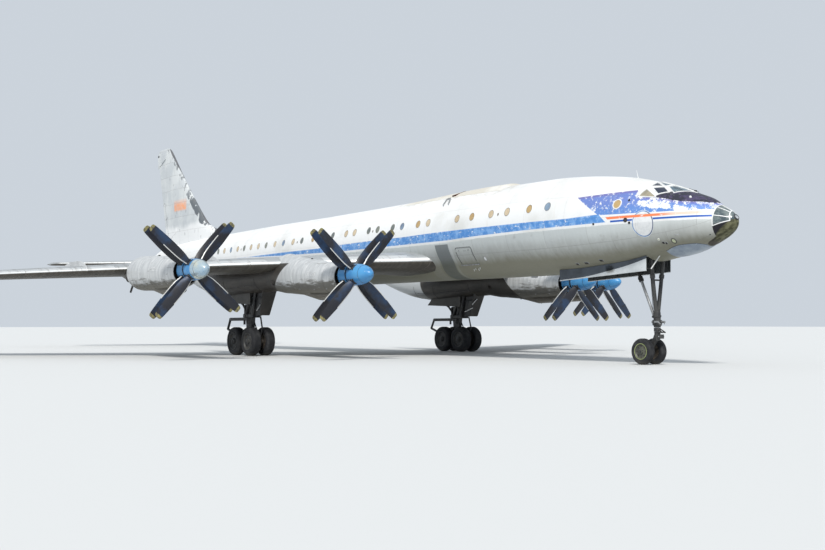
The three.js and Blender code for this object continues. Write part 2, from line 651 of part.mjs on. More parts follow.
// Wings, engines and landing gear, left and right
for (const [tag, side] of [['l', 1], ['r', -1]]) {
  const surfaces = WING_SURFACES.map(({ name, x1, x2 }) => ({
    name,
    ...surfaceOf(wing, HINGE_LINE, side, x1, x2),
  }));
  const plain = join(wing.solid(side), ...FENCES.map((x) => fence(side, x)),
    jackPad(side * WING_PAD.x, WING_PAD.s, WING_PAD.face, 0.4));
  const tools = surfaces.flatMap(({ space, bores }) => [space, ...bores]);
  add(`wing_${tag}`, cut(plain, ...tools, bodySkin), METAL);
  surfaces.forEach(({ name, solid }) => add(`${name}_${tag}`, solid, METAL));

  const wingSkin = wing.solid(side, SEAT);
  ENGINES.forEach((engine) => {
    const body = join(cowling(engine, side), oilCooler(engine, side));
    add(`nacelle_${engine.name}_${tag}`, join(cut(body, wingSkin), shaft(engine, side)), METAL);
    const angle = THREE.MathUtils.degToRad(engine.rest[tag] * side);
    [['front', 0], ['rear', DISC_SPACING]].forEach(([place, behind]) => {
      add(`propeller_${engine.name}_${place}_${tag}`, propeller(place === 'front'), BLACK,
        [side * engine.x, engine.disc + behind, engine.z], angle);
    });
  });
  add(`gear_pod_${tag}`, cut(pod(side), wingSkin, mainLeg(side, SEAT)), METAL);
  add(`main_leg_${tag}`, mainLeg(side), STEEL);
  add(`bogie_beam_${tag}`, bogieBeam(side), STEEL);
  add(`main_leg_door_${tag}`, cut(legDoor(side), pod(side, SEAT)), METAL);
  [['front', -1], ['rear', 1]].forEach(([place, where]) => {
    add(`main_wheels_${place}_${tag}`, wheelPair(MAIN_WHEEL, AXLE_RADIUS), RUBBER,
      [side * BOGIE.x, BOGIE.s + where * MAIN_WHEEL.base, BOGIE.z]);
  });

  const elevator = surfaceOf(tailplane, TAIL_HINGE, side, ELEVATOR.x1, ELEVATOR.x2);
  const fixed = cut(tailplane.solid(side), elevator.space, ...elevator.bores, bodySkin);
  add(`tailplane_${tag}`, fixed, METAL);
  add(`elevator_${tag}`, elevator.solid, METAL);
  add(`nose_gear_door_${tag}`, cut(noseDoor(side), bodyPart(2, NOSE_BREAK, SEAT)), WHITE);
}

// Fin and rudder
const rudder = rudderSurface();
add('fin', cut(finSolid(), rudder.space, ...rudder.bores, bodySkin), WHITE);
add('rudder', rudder.solid, WHITE);

// Nose landing gear
add('nose_leg', noseLeg(), STEEL);
add('nose_drag_brace', noseBrace(), STEEL);
add('nose_steering_fork', noseSteering(), STEEL);
add('nose_wheels', wheelPair(NOSE_WHEEL, NOSE_AXLE_RADIUS), RUBBER,
  [0, NOSE_WHEEL.s, NOSE_WHEEL.z]);

aircraft.scale.setScalar(MODEL_MM);
aircraft.position.y = (-LENGTH / 2) * MODEL_MM;

export default aircraft;
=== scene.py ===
"""Looks of a four-engined turboprop airliner, a 1:2 scale model standing on its landing gear.

Points are (across, station, height) in metres of the real aircraft: the left side is +x, the
station runs back from the nose tip and the height is above the ground. at() turns a point
into the model's own metres.
"""
import bisect
import math
from math import cos, pi, radians, sin

import bmesh
import bpy
from mathutils import Matrix, Vector


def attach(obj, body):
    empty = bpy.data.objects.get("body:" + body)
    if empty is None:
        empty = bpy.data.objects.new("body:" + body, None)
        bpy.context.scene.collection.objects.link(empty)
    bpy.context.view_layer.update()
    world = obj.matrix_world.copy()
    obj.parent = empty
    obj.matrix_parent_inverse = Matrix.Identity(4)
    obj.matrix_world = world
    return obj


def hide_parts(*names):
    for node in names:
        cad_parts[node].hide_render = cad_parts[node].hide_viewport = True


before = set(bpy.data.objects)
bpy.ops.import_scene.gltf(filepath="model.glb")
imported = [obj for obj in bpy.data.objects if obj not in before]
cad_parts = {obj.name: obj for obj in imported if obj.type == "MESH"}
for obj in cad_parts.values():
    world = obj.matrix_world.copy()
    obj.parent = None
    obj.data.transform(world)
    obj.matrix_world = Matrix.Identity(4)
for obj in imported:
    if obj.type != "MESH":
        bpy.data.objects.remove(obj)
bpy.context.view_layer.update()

SCALE = 0.5
LENGTH = 54.0
SIDES = (("l", 1), ("r", -1))


def at(x, s, z):
    """A point of the real aircraft in the model's metres."""
    return Vector((x, s - LENGTH / 2, z)) * SCALE


# Camera: the photograph's place, direction and angle of view
CAMERA_PLACE = (-17.1315, -26.5455, 0.833)
CAMERA_PITCH = 2.50
CAMERA_YAW = 36.27
CAMERA_LENS = 48.27


def make_camera():
    """The photograph's view."""
    data = bpy.data.cameras.new("camera")
    data.lens = CAMERA_LENS
    data.sensor_width = 36.0
    data.clip_end = 500.0
    camera = bpy.data.objects.new("camera", data)
    camera.location = CAMERA_PLACE
    camera.rotation_euler = (radians(90 + CAMERA_PITCH), 0, radians(-CAMERA_YAW))
    bpy.context.scene.collection.objects.link(camera)
    bpy.context.scene.camera = camera


make_camera()

# Smooth curves through short tables


class Curve:
    """A smooth curve through (place, value) points, which never overshoots them."""

    def __init__(self, points):
        self.x, self.y = zip(*sorted(points))
        steps = [(b - a) / (q - p) for a, b, p, q in zip(self.y, self.y[1:], self.x, self.x[1:])]
        inner = [2 * a * b / (a + b) if a * b > 0 else 0 for a, b in zip(steps, steps[1:])]
        self.slope = [steps[0], *inner, steps[-1]]

    def __call__(self, x):
        x = min(max(x, self.x[0]), self.x[-1])
        i = min(max(bisect.bisect_right(self.x, x) - 1, 0), len(self.x) - 2)
        width = self.x[i + 1] - self.x[i]
        t = (x - self.x[i]) / width
        return (self.y[i] * (1 + 2 * t) * (1 - t) ** 2 + self.y[i + 1] * t * t * (3 - 2 * t)
                + width * (self.slope[i] * t * (1 - t) ** 2 - self.slope[i + 1] * t * t * (1 - t)))


def spread(first, last, count):
    """count + 1 values from first to last."""
    return [first + (last - first) * i / count for i in range(count + 1)]


def full_turn(count):
    """The turns of count points around a circle."""
    return spread(0, 2 * pi, count)[:-1]


# Body: station, lowest, highest, half width
BODY = [
    (0.00, 5.36, 5.60, 0.08), (0.10, 5.20, 5.76, 0.20), (0.35, 5.00, 5.95, 0.38),
    (0.75, 4.81, 6.17, 0.63), (1.21, 4.65, 6.48, 0.92), (1.76, 4.50, 6.69, 1.16),
    (2.75, 4.30, 7.05, 1.46), (3.78, 4.14, 7.36, 1.70), (5.00, 3.98, 7.65, 1.88),
    (6.40, 3.88, 7.85, 2.00), (7.60, 3.81, 7.97, 2.06), (9.40, 3.80, 8.06, 2.13),
    (14.6, 3.80, 8.06, 2.13), (19.0, 3.80, 7.97, 2.13), (25.0, 3.80, 7.87, 2.13),
    (29.0, 3.80, 7.82, 2.13), (34.0, 4.02, 7.79, 1.96), (39.5, 4.46, 7.71, 1.66),
    (44.0, 4.86, 7.64, 1.32), (48.0, 5.18, 7.50, 0.99), (51.5, 5.52, 7.30, 0.68),
    (53.3, 5.88, 6.95, 0.44), (54.0, 6.20, 6.55, 0.15),
]
CABIN_AXIS = 5.93
CABIN_RADIUS = 2.13

NOSE_BREAK = 9.0
TAIL_BREAK = 30.0
BODY_LOW, BODY_HIGH, BODY_HALF = (Curve([(row[0], row[k]) for row in BODY]) for k in (1, 2, 3))


def body_at(s, turn):
    """The point of the body's skin at a station, turned up from the left side."""
    low, high = BODY_LOW(s), BODY_HIGH(s)
    return Vector((BODY_HALF(s) * cos(turn), s, (high + low) / 2 + (high - low) / 2 * sin(turn)))


def skin_point(s, turn, out=0.0):
    """As body_at, moved out of the skin by a distance."""
    point = body_at(s, turn)
    if not out:
        return point
    step = 1e-3
    around = body_at(s, turn + step) - body_at(s, turn - step)
    back = body_at(min(s + step, LENGTH), turn) - body_at(max(s - step, 0), turn)
    return point + around.cross(back).normalized() * -out


def turn_of(side, s, z):
    """The turn at which the skin has a height, on one side."""
    low, high = BODY_LOW(s), BODY_HIGH(s)
    lift = math.asin(min(1, max(-1, (2 * z - high - low) / (high - low))))
    return lift if side > 0 else pi - lift


def on_side(side, s, z, out=0.0):
    """The skin's point at a station and height, moved out by a distance."""
    return skin_point(s, turn_of(side, s, z), out)


def on_top(x, s, out):
    """The upper skin's point at a distance across and a station, moved out."""
    return skin_point(s, math.acos(min(1, max(-1, x / BODY_HALF(s)))), out)


# Mesh making


class Shape:
    """The mesh of one piece, in metres of the real aircraft. A mark is a finish's number."""

    def __init__(self):
        self.mesh = bmesh.new()

    def loft(self, rings, around=True, ends=True, mark=0, skip=None):
        """Joins rings of points. around closes each ring, ends fills the first and last."""
        rows = [[self.mesh.verts.new(p) for p in ring] for ring in rings]
        count = len(rows[0])
        for i, (a, b) in enumerate(zip(rows, rows[1:])):
            for j in range(count if around else count - 1):
                k = (j + 1) % count
                if skip is None or not skip(i, j):
                    self.mesh.faces.new((a[j], a[k], b[k], b[j])).material_index = mark
        if ends and around:
            for row in (rows[0], rows[-1]):
                self.mesh.faces.new(row).material_index = mark

    def tube(self, path, radius, sides, mark=0):
        """A tube along a path. radius is one number, or one for each point."""
        points = [Vector(p) for p in path]
        sizes = [radius] * len(points) if isinstance(radius, (int, float)) else radius
        lines = [(b - a).normalized() for a, b in zip(points, points[1:])]
        heads = [lines[0], *[(a + b).normalized() for a, b in zip(lines, lines[1:])], lines[-1]]
        side = heads[0].orthogonal().normalized()
        rings = []
        for point, head, size in zip(points, heads, sizes):
            side = (side - head * side.dot(head)).normalized()
            other = head.cross(side)
            rings.append([point + size * (side * cos(t) + other * sin(t)) for t in full_turn(sides)])
        self.loft(rings, mark=mark)

    def lathe(self, profile, centre, axis=(0, 1, 0), sides=48, mark=0):
        """Turns (along, radius) points about an axis. A profile that ends off the axis is open."""
        head = Vector(axis).normalized()
        side = head.orthogonal().normalized()
        other = head.cross(side)
        rings = [[Vector(centre) + head * a + max(r, 1e-5) * (side * cos(t) + other * sin(t))
                  for t in full_turn(sides)] for a, r in profile]
        self.loft(rings, ends=False, mark=mark)

    def hull(self, points, mark=0):
        made = [self.mesh.verts.new(p) for p in points]
        result = bmesh.ops.convex_hull(self.mesh, input=made, use_existing_faces=False)
        inner = set(result["geom_interior"] + result["geom_unused"])
        bmesh.ops.delete(self.mesh, geom=[v for v in made if v in inner], context="VERTS")
        for face in result["geom"]:
            if isinstance(face, bmesh.types.BMFace):
                face.material_index = mark

    def box(self, low, high, bevel, mark=0):
        """A box with its edges cut off."""
        middle = (Vector(low) + Vector(high)) / 2
        half = (Vector(high) - Vector(low)) / 2
        points = []
        for signs in ((a, b, c) for a in (-1, 1) for b in (-1, 1) for c in (-1, 1)):
            for axis in range(3):
                inset = [half[k] - (0 if k == axis else bevel) for k in range(3)]
                points.append(middle + Vector([signs[k] * inset[k] for k in range(3)]))
        self.hull(points, mark)

    def plate(self, outline, thickness, mark=0):
        """A flat or bent outline carried along the vector thickness."""
        shift = Vector(thickness)
        self.loft([[Vector(p) for p in outline], [Vector(p) + shift for p in outline]], mark=mark)

    def piece(self, name, finishes, slot, body="airframe", replaces=(), sharp=32):
        """Makes the object, with each finish as the material of its mark."""
        bmesh.ops.remove_doubles(self.mesh, verts=self.mesh.verts, dist=2e-5)
        bmesh.ops.recalc_face_normals(self.mesh, faces=self.mesh.faces)
        for vertex in self.mesh.verts:
            vertex.co = at(*vertex.co)
        mesh = bpy.data.meshes.new(name)
        self.mesh.to_mesh(mesh)
        self.mesh.free()
        for finish in finishes if isinstance(finishes, (list, tuple)) else [finishes]:
            mesh.materials.append(finish)
        mesh.shade_smooth()
        mesh.set_sharp_from_angle(angle=radians(sharp))
        thing = bpy.data.objects.new(name, mesh)
        bpy.context.scene.collection.objects.link(thing)
        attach(thing, body)
        if replaces:
            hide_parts(*replaces)
        return thing


# Materials


class Value:
    """An output of a node in a paint, on which sums can be written."""

    def __init__(self, paint, socket):
        self.paint, self.socket = paint, socket

    def __add__(self, other):
        return self.paint.math("ADD", self, other)

    def __radd__(self, other):
        return self.paint.math("ADD", other, self)

    def __sub__(self, other):
        return self.paint.math("SUBTRACT", self, other)

    def __rsub__(self, other):
        return self.paint.math("SUBTRACT", other, self)

    def __mul__(self, other):
        return self.paint.math("MULTIPLY", self, other)


class Paint:
    """The nodes of one material, with places in metres of the real aircraft."""

    def __init__(self, name):
        self.material = bpy.data.materials.new(name)
        self.material.use_nodes = True
        self.tree = self.material.node_tree
        self.tree.nodes.clear()
        self.shader = self.tree.nodes.new("ShaderNodeBsdfPrincipled")
        output = self.tree.nodes.new("ShaderNodeOutputMaterial")
        self.tree.links.new(self.shader.outputs[0], output.inputs[0])
        spot = self.node("ShaderNodeTexCoord", "Object")
        self.place = self.mapped(spot, (0, LENGTH / 2, 0), (1 / SCALE,) * 3)
        self.x, self.s, self.z = self.node("ShaderNodeSeparateXYZ", (0, 1, 2), (self.place,))
        self.normal = None

    def feed(self, socket, value):
        if isinstance(value, Value):
            self.tree.links.new(value.socket, socket)
        elif isinstance(value, tuple) and socket.type == "RGBA":
            socket.default_value = (*value, 1.0)
        else:
            socket.default_value = value

    def node(self, kind, output, inputs=(), **settings):
        """The output of a new node, or a list of them. inputs are in order, or go by their places."""
        node = self.tree.nodes.new(kind)
        for name, value in settings.items():
            setattr(node, name, value)
        for place, value in inputs.items() if isinstance(inputs, dict) else enumerate(inputs):
            self.feed(node.inputs[place], value)
        if isinstance(output, tuple):
            return [Value(self, node.outputs[place]) for place in output]
        return Value(self, node.outputs[output])

    def mapped(self, vector, location, scale):
        return self.node("ShaderNodeMapping", 0, {"Vector": vector, "Location": location, "Scale": scale})

    def math(self, kind, *values):
        return self.node("ShaderNodeMath", 0, values, operation=kind)

    def most(self, a, b):
        return self.math("MAXIMUM", a, b)

    def step(self, value, low, high, bottom=0.0, top=1.0):
        """From bottom to top as value goes from low to high."""
        inputs = (value, low, high, bottom, top)
        return self.node("ShaderNodeMapRange", 0, inputs, interpolation_type="SMOOTHSTEP")

    def above(self, value, edge, soft=0.012):
        """1 where value is above an edge, which may itself vary."""
        return self.step(value - edge, -soft, soft)

    def below(self, value, edge, soft=0.012):
        return 1.0 - self.above(value, edge, soft)

    def band(self, value, low, high, soft=0.012):
        return self.above(value, low, soft) * self.below(value, high, soft)

    def line(self, value, points, span):
        """A height along value, through (place, height) points, between 0 and span."""
        node = self.tree.nodes.new("ShaderNodeFloatCurve")
        curve = node.mapping.curves[0]
        low, high = min(p[1] for p in points), max(p[1] for p in points)
        reach = max(high - low, 1e-3)
        spots = [(p[0] / span, (p[1] - low) / reach) for p in points]
        curve.points[0].location, curve.points[1].location = spots[0], spots[-1]
        for spot in spots[1:-1]:
            curve.points.new(*spot)
        for point in curve.points:
            point.handle_type = "VECTOR"
        node.mapping.update()
        self.feed(node.inputs["Value"], self.math("DIVIDE", value, span))
        return Value(self, node.outputs[0]) * reach + low

    def noise(self, size, detail, stretch=(1, 1, 1), roughness=0.55, seed=0.0):
        """Noise with blotches of about a size, longer along an axis with a larger stretch."""
        scale = tuple(1 / (size * k) for k in stretch)
        spot = self.mapped(self.place, (seed, seed * 1.7, seed * 0.6), scale)
        inputs = {"Vector": spot, "Scale": 1.0, "Detail": detail, "Roughness": roughness}
        return self.node("ShaderNodeTexNoise", 0, inputs)

    def red(self, colour):
        return self.node("ShaderNodeSeparateColor", 0, (colour,))

    def specks(self, size, density, stretch):
        """Small spots: 1 in a spot, 0 elsewhere. density is the share of cells that has one."""
        spot = self.mapped(self.place, (0.0, 0.0, 0.0), tuple(1 / (size * k) for k in stretch))
        inputs = {"Vector": spot, "Scale": 1.0}
        colour, distance = self.node("ShaderNodeTexVoronoi", ("Color", "Distance"), inputs)
        return self.math("LESS_THAN", self.red(colour), density) * self.step(distance, 0.42, 0.22)

    def panels(self, along, across, length, width):
        """Sheets of skin: (a tone that differs from sheet to sheet, 1 on the seams)."""
        inputs = {"Vector": self.node("ShaderNodeCombineXYZ", 0, (along, across, 0.0)), "Scale": 1.0,
                  "Mortar Size": 0.014, "Mortar Smooth": 0.3, "Brick Width": length, "Row Height": width,
                  "Bias": 0.0, "Color1": (0, 0, 0), "Color2": (1, 1, 1), "Mortar": (0.5, 0.5, 0.5)}
        tone, seam = self.node("ShaderNodeTexBrick", ("Color", "Fac"), inputs, offset=0.5)
        return self.red(tone), seam

    def mix(self, share, a, b):
        """Colour a, or b where share is 1."""
        return self.node("ShaderNodeMix", 2, {0: share, 6: a, 7: b}, data_type="RGBA")

    def blend(self, share, a, b):
        """Number a, or b where share is 1."""
        return self.node("ShaderNodeMix", 0, {0: share, 2: a, 3: b})

    def facing_down(self, start, end):
        """1 on faces that look down."""
        normal = self.node("ShaderNodeNewGeometry", "Normal")
        return self.step(self.node("ShaderNodeSeparateXYZ", 2, (normal,)), start, end)

    def bump(self, height, depth, strength=1.0):
        """Adds relief: depth is the real height of 1, in metres of the real aircraft."""
        inputs = {"Strength": strength, "Distance": depth * SCALE, "Height": height}
        if self.normal:
            inputs["Normal"] = self.normal
        self.normal = self.node("ShaderNodeBump", 0, inputs)
        self.feed(self.shader.inputs["Normal"], self.normal)

    def done(self, colour, roughness, metallic=0.0, **more):
        values = {"Base Color": colour, "Roughness": roughness, "Metallic": metallic}
        for name, value in {**values, **more}.items():
            self.feed(self.shader.inputs[name.replace("_", " ")], value)
        return self.material


WHITE = (0.76, 0.77, 0.775)
CREAM = (0.66, 0.63, 0.56)
STRIPE_BLUE = (0.070, 0.235, 0.57)
PATCH_BLUE = (0.050, 0.185, 0.54)
PATCH_PURPLE = (0.095, 0.060, 0.29)
DEEP_BLUE = (0.006, 0.085, 0.40)
ORANGE = (0.80, 0.20, 0.075)
GRIME = (0.16, 0.14, 0.12)

# Edges of the body's stripe and of the nose's patch: (station, height)
STRIPE_TOP = [(0, 6.03), (5.5, 6.05), (7, 6.0), (9.8, 6.02), (12.8, 6.02), (16, 6.0), (18.5, 5.95),
              (22, 5.93), (24.3, 5.89), (27, 5.82), (31, 5.81), (35, 5.78), (54, 5.78)]
STRIPE_LOW = [(0, 5.72), (5, 5.71), (9.8, 5.69), (12.8, 5.65), (15, 5.58), (24, 5.55), (27, 5.58),
              (31, 5.64), (35.4, 5.77), (54, 5.77)]
PATCH_TOP = [(0, 6.22), (1.03, 6.25), (1.3, 6.29), (1.8, 6.34), (2.2, 6.41), (2.6, 6.50), (2.95, 6.57),
             (3.64, 6.67), (3.87, 6.95), (6.65, 6.86), (10, 6.86)]
PATCH_LOW = [(0, 5.96), (3.0, 5.97), (5.35, 6.02), (6.65, 6.86), (6.67, 9.0), (10, 9.0)]
# Top of the solid blue in the patch, and the lower edge of the black panel before the windscreen
BAND_TOP = [(0, 5.94), (1.9, 5.98), (2.16, 6.04), (2.52, 6.12), (3.05, 6.17), (3.5, 6.25), (3.8, 6.7),
            (4.0, 7.2), (10, 7.2)]
BLACK_LOW = [(0, 6.20), (1.03, 6.25), (1.25, 6.29), (1.8, 6.34), (2.2, 6.41), (2.56, 6.50), (2.93, 6.56),
             (3.3, 6.62), (10, 6.62)]
# The bare round plate painted on each side of the nose: middle, half length and half height
DISC = {"s": 3.29, "z": 5.555, "along": 0.465, "high": 0.525}
# How far back the nose's lines reach, and the stations of the dark band around the body
NOSE_SPAN = 10.0
RING_BAND = (15.0, 16.0)


def seams(p):
    """Panel tone and seams of the body's skin."""
    girth = p.math("ARCTAN2", p.x, p.z - CABIN_AXIS) * CABIN_RADIUS
    tone, seam = p.panels(p.s, girth, 2.4, 1.12)
    rings = p.math("PINGPONG", p.s, 0.6)
    return tone, seam, p.step(rings, 0.012, 0.0)


def body_skin():
    """White above, metal below with wear and painted shade, the blue stripe and the nose's faded patch."""
    p = Paint("body_skin")
    tone, seam, rings = seams(p)
    fine = p.noise(0.35, 6, roughness=0.7)
    broad = p.noise(2.6, 5)
    streaks = p.noise(0.45, 5, stretch=(0.5, 0.35, 6), seed=3)
    chips = p.noise(0.22, 8, roughness=0.80, seed=5)

    white = p.mix(p.step(broad, 0.50, 0.72), WHITE, (0.64, 0.645, 0.63))
    white = p.mix(p.step(streaks, 0.56, 0.74) * 0.3, white, CREAM)
    crown = p.band(p.s, 11.6, 21.0, 0.5) * p.above(p.z, 7.55, 0.35) * p.step(fine, 0.44, 0.64)
    white = p.mix(crown * 0.55, white, (0.42, 0.38, 0.33))

    # Metal below the stripe: painted shade, darker in bands towards the bottom and olive there as a painted
    # ground reflection
    level = p.z + (broad * 0.3 + streaks * 0.2)
    level = level - p.step(p.s, 5.5, 1.5, 0.0, 0.4) + 0.27
    upper = p.mix(p.blend(0.4, tone, streaks), (0.56, 0.595, 0.60), (0.65, 0.685, 0.68))
    middle = p.mix(streaks, (0.37, 0.385, 0.37), (0.46, 0.475, 0.46))
    lower = p.mix(fine, (0.150, 0.148, 0.106), (0.205, 0.200, 0.152))
    metal = p.mix(p.step(level, 5.95, 5.25), upper, middle)
    metal = p.mix(p.step(level, 5.40, 4.85), metal, lower)
    place = p.s - p.step(p.z, 4.7, 3.8, 0.0, 0.45)
    beside = p.below(p.z, 5.4)
    ring = p.band(place, *RING_BAND) * beside * 0.85
    # From 4.9 m down, the band and its edges are painted darker, as shade
    down = p.step(p.z, 4.9, 4.4)
    metal = p.mix(ring, metal, p.mix(down, (0.17, 0.19, 0.20), (0.075, 0.085, 0.075)))
    front, rear = RING_BAND
    edges = p.band(place, front - 0.22, front - 0.06) + p.band(place, rear + 0.15, rear + 0.9) * 0.6
    metal = p.mix(edges * 0.55 * beside, metal, p.mix(down, (0.60, 0.62, 0.63), (0.24, 0.25, 0.22)))

    low = p.line(p.s, STRIPE_LOW, LENGTH)
    top = p.line(p.s, STRIPE_TOP, LENGTH)
    is_white = p.above(p.z, low - (0.07 + fine * 0.08), 0.02)
    colour = p.mix(is_white, metal, white)

    slant = p.s - (p.z - 5.86) * 1.06
    blue = p.mix(p.step(fine, 0.42, 0.62), STRIPE_BLUE, (0.19, 0.38, 0.70))
    kept = p.step(p.noise(0.13, 6, roughness=0.78, stretch=(1, 1.6, 1), seed=9), 0.62, 0.58)
    stripe = p.band(p.z, low, top) * p.above(slant, 5.135) * kept
    colour = p.mix(stripe, colour, blue)

    patch_top = p.line(p.s, PATCH_TOP, NOSE_SPAN)
    band_top = p.line(p.s, BAND_TOP, NOSE_SPAN)
    patch = p.above(p.z, p.line(p.s, PATCH_LOW, NOSE_SPAN)) * p.below(p.z, patch_top) * p.below(p.s, 6.66)
    from_top = patch_top - p.z
    solid = p.below(p.z, band_top, 0.05) * p.step(p.s, 1.6, 2.5)
    vein = p.band(p.z - p.s * 0.22, 5.76, 5.9, 0.04) * p.step(p.s, 2.9, 2.3)
    traces = p.most(p.step(from_top, 0.34, 0.04), vein) * (1 - solid)
    limit = 0.425 + solid * 0.145 + traces * 0.1
    painted = patch * p.step(chips - limit, 0.015, -0.02)
    shade = p.mix(p.step(p.z, 6.55, 6.05), (0.080, 0.155, 0.48), PATCH_BLUE)
    purple = p.most(p.step(from_top, 0.16, 0.0), p.step(fine, 0.58, 0.68))
    shade = p.mix(purple * 0.75, shade, PATCH_PURPLE)
    veil = patch * p.step(p.s, 1.9, 1.1) * p.step(fine, 0.62, 0.46)
    colour = p.mix(veil * 0.65, colour, (0.42, 0.47, 0.72))
    colour = p.mix(painted * 0.92, colour, shade)

    panel = p.above(p.z, p.line(p.s, BLACK_LOW, NOSE_SPAN) + (chips - 0.5) * 0.12)
    away = p.math("ABSOLUTE", p.x)
    panel = panel * p.below(p.s - away, 1.85) * p.below(p.s, 3.1)
    near_black = p.mix(p.step(fine, 0.46, 0.60), (0.014, 0.015, 0.030), (0.050, 0.038, 0.095))
    near_black = p.mix(p.step(chips, 0.59, 0.66), near_black, (0.30, 0.29, 0.33))
    colour = p.mix(panel, colour, near_black)

    deep = p.band(p.z, 5.688, 5.768, 0.01) * p.below(p.s, 4.75)
    colour = p.mix(deep, colour, DEEP_BLUE)
    outline = p.band(p.z, 5.765, 5.972, 0.01) * p.below(slant, 5.135)
    colour = p.mix(outline, colour, WHITE)
    along = p.math("DIVIDE", p.s - DISC["s"], DISC["along"])
    high = p.math("DIVIDE", p.z - DISC["z"], DISC["high"])
    reach = p.math("SQRT", along * along + high * high)
    disc = p.below(reach, 1.0, 0.02)
    face = p.mix(p.step(fine, 0.45, 0.65), (0.72, 0.73, 0.74), (0.60, 0.62, 0.63))
    circle = p.mix(p.step(along, 0.0, -0.7), (0.10, 0.24, 0.50), (0.020, 0.05, 0.14))
    colour = p.mix(disc, colour, p.mix(p.band(reach, 0.90, 0.97, 0.02), face, circle))
    orange = p.band(p.z, 5.815, 5.915, 0.012) * p.below(slant, 4.93) * p.above(p.s, 0.9, 0.4)
    washed = p.mix(p.step(p.s, 2.7, 1.9), ORANGE, (0.76, 0.56, 0.46))
    colour = p.mix(orange * p.step(chips, 0.66, 0.56), colour, washed)

    grime = p.step(p.noise(0.7, 7, seed=21, roughness=0.7), 0.6, 0.76) * 0.3
    colour = p.mix(grime, colour, p.mix(is_white, GRIME, (0.48, 0.46, 0.42)))
    lines = p.most(seam, rings * 0.4)
    colour = p.mix(lines * p.blend(is_white, 0.22, 0.08), colour, GRIME)
    p.bump(lines, -0.005)
    p.bump(p.noise(0.8, 3, seed=2), 0.010, 0.5)
    p.bump(chips, 0.0015, 0.5)
    rough = p.blend(is_white, 0.4, 0.42) + fine * 0.16
    return p.done(colour, rough, p.blend(is_white, p.step(level, 4.9, 5.6, 0.0, 0.40), 0.0))


def worn_metal(name, light, dark, under, roughness=0.40, metallic=0.6, sheet=(1.5, 0.9)):
    """Bare or silver-painted sheet metal, streaked, with painted shade on faces that look down."""
    p = Paint(name)
    tone, seam = p.panels(p.s, p.x, *sheet)
    fine = p.noise(0.25, 6, roughness=0.7)
    broad = p.noise(1.6, 5, seed=4)
    streaks = p.noise(0.4, 6, stretch=(0.35, 6, 1), seed=8, roughness=0.65)
    colour = p.mix(p.blend(0.6, broad, tone), light, dark)
    colour = p.mix(p.step(streaks, 0.5, 0.72) * 0.45, colour, GRIME)
    # Faces that look down are painted dark in streaks, as shade and ground reflection; under is the colour
    # of that painted shade
    shaded_underside = p.mix(p.step(streaks, 0.35, 0.65), under, tuple(0.55 * c for c in under))
    down = p.facing_down(0.02, -0.16)
    colour = p.mix(down, colour, shaded_underside)
    colour = p.mix(seam * 0.45, colour, GRIME)
    p.bump(seam, -0.006)
    p.bump(broad, 0.008, 0.5)
    rough = fine * 0.22 + roughness
    return p.done(colour, rough, (1 - down) * metallic)


def cowl_metal():
    """Silver cowlings, oily and darker below, the wing's shadow painted near-black behind a slanted edge.
    """
    p = Paint("cowl_metal")
    fine = p.noise(0.2, 7, roughness=0.72)
    streaks = p.noise(0.24, 6, stretch=(1, 5, 1), seed=8, roughness=0.7)
    waves = p.noise(0.30, 3, stretch=(1, 0.5, 4), seed=6)
    rings = p.step(p.math("PINGPONG", p.s + 0.25, 0.62), 0.01, 0.0)
    colour = p.mix(p.step(waves, 0.35, 0.65), (0.50, 0.515, 0.525), (0.62, 0.635, 0.64))
    # Oil streaks, with painted shade added towards the bottom
    low = p.step(p.z, 3.95, 3.15)
    oil_and_shade = p.step(streaks + low * 0.45, 0.58, 0.8) * 0.9
    colour = p.mix(oil_and_shade, colour, (0.075, 0.070, 0.055))
    colour = p.mix(rings * 0.35, colour, GRIME)
    away = p.math("ABSOLUTE", p.x)
    is_outer = p.above(away, 10.0)
    # Darker towards the bottom in blotches, reaching higher on the outer engines
    darker_below = p.step(p.z - is_outer * 0.22, 3.4, 3.08)
    colour = p.mix(darker_below * p.step(waves, 0.3, 0.6, 0.5, 0.9), colour, (0.13, 0.115, 0.092))
    # Painted shade on faces that look down
    under = p.mix(fine, (0.085, 0.080, 0.062), (0.17, 0.165, 0.14))
    colour = p.mix(p.facing_down(-0.55, -0.90) * 0.75, colour, under)
    # The wing's shadow, painted near-black on the rear: behind a slanted line on the inner engines, behind
    # 25.3 m on the outer ones
    is_outboard = p.above(away, 6.95)
    inboard_shadow_edge = (p.z - 4.2) * 0.92 + 20.47
    outboard_shadow_edge = (4.49 - p.z) * 1.26 + 20.44
    inner_shadow_edge = p.blend(is_outboard, inboard_shadow_edge, outboard_shadow_edge) + p.step(p.z, 4.56, 4.66, 0.0, 9.0)
    wing_shadow = p.above(p.s, p.blend(is_outer, inner_shadow_edge, 25.3), 0.03)
    colour = p.mix(wing_shadow, colour, p.mix(fine, (0.020, 0.017, 0.014), (0.048, 0.042, 0.034)))
    p.bump(rings, -0.006)
    p.bump(waves, 0.012, 0.6)
    p.bump(fine, 0.003, 0.5)
    shine = (1 - p.most(oil_and_shade, wing_shadow)) * 0.35
    return p.done(colour, fine * 0.25 + 0.36, shine)


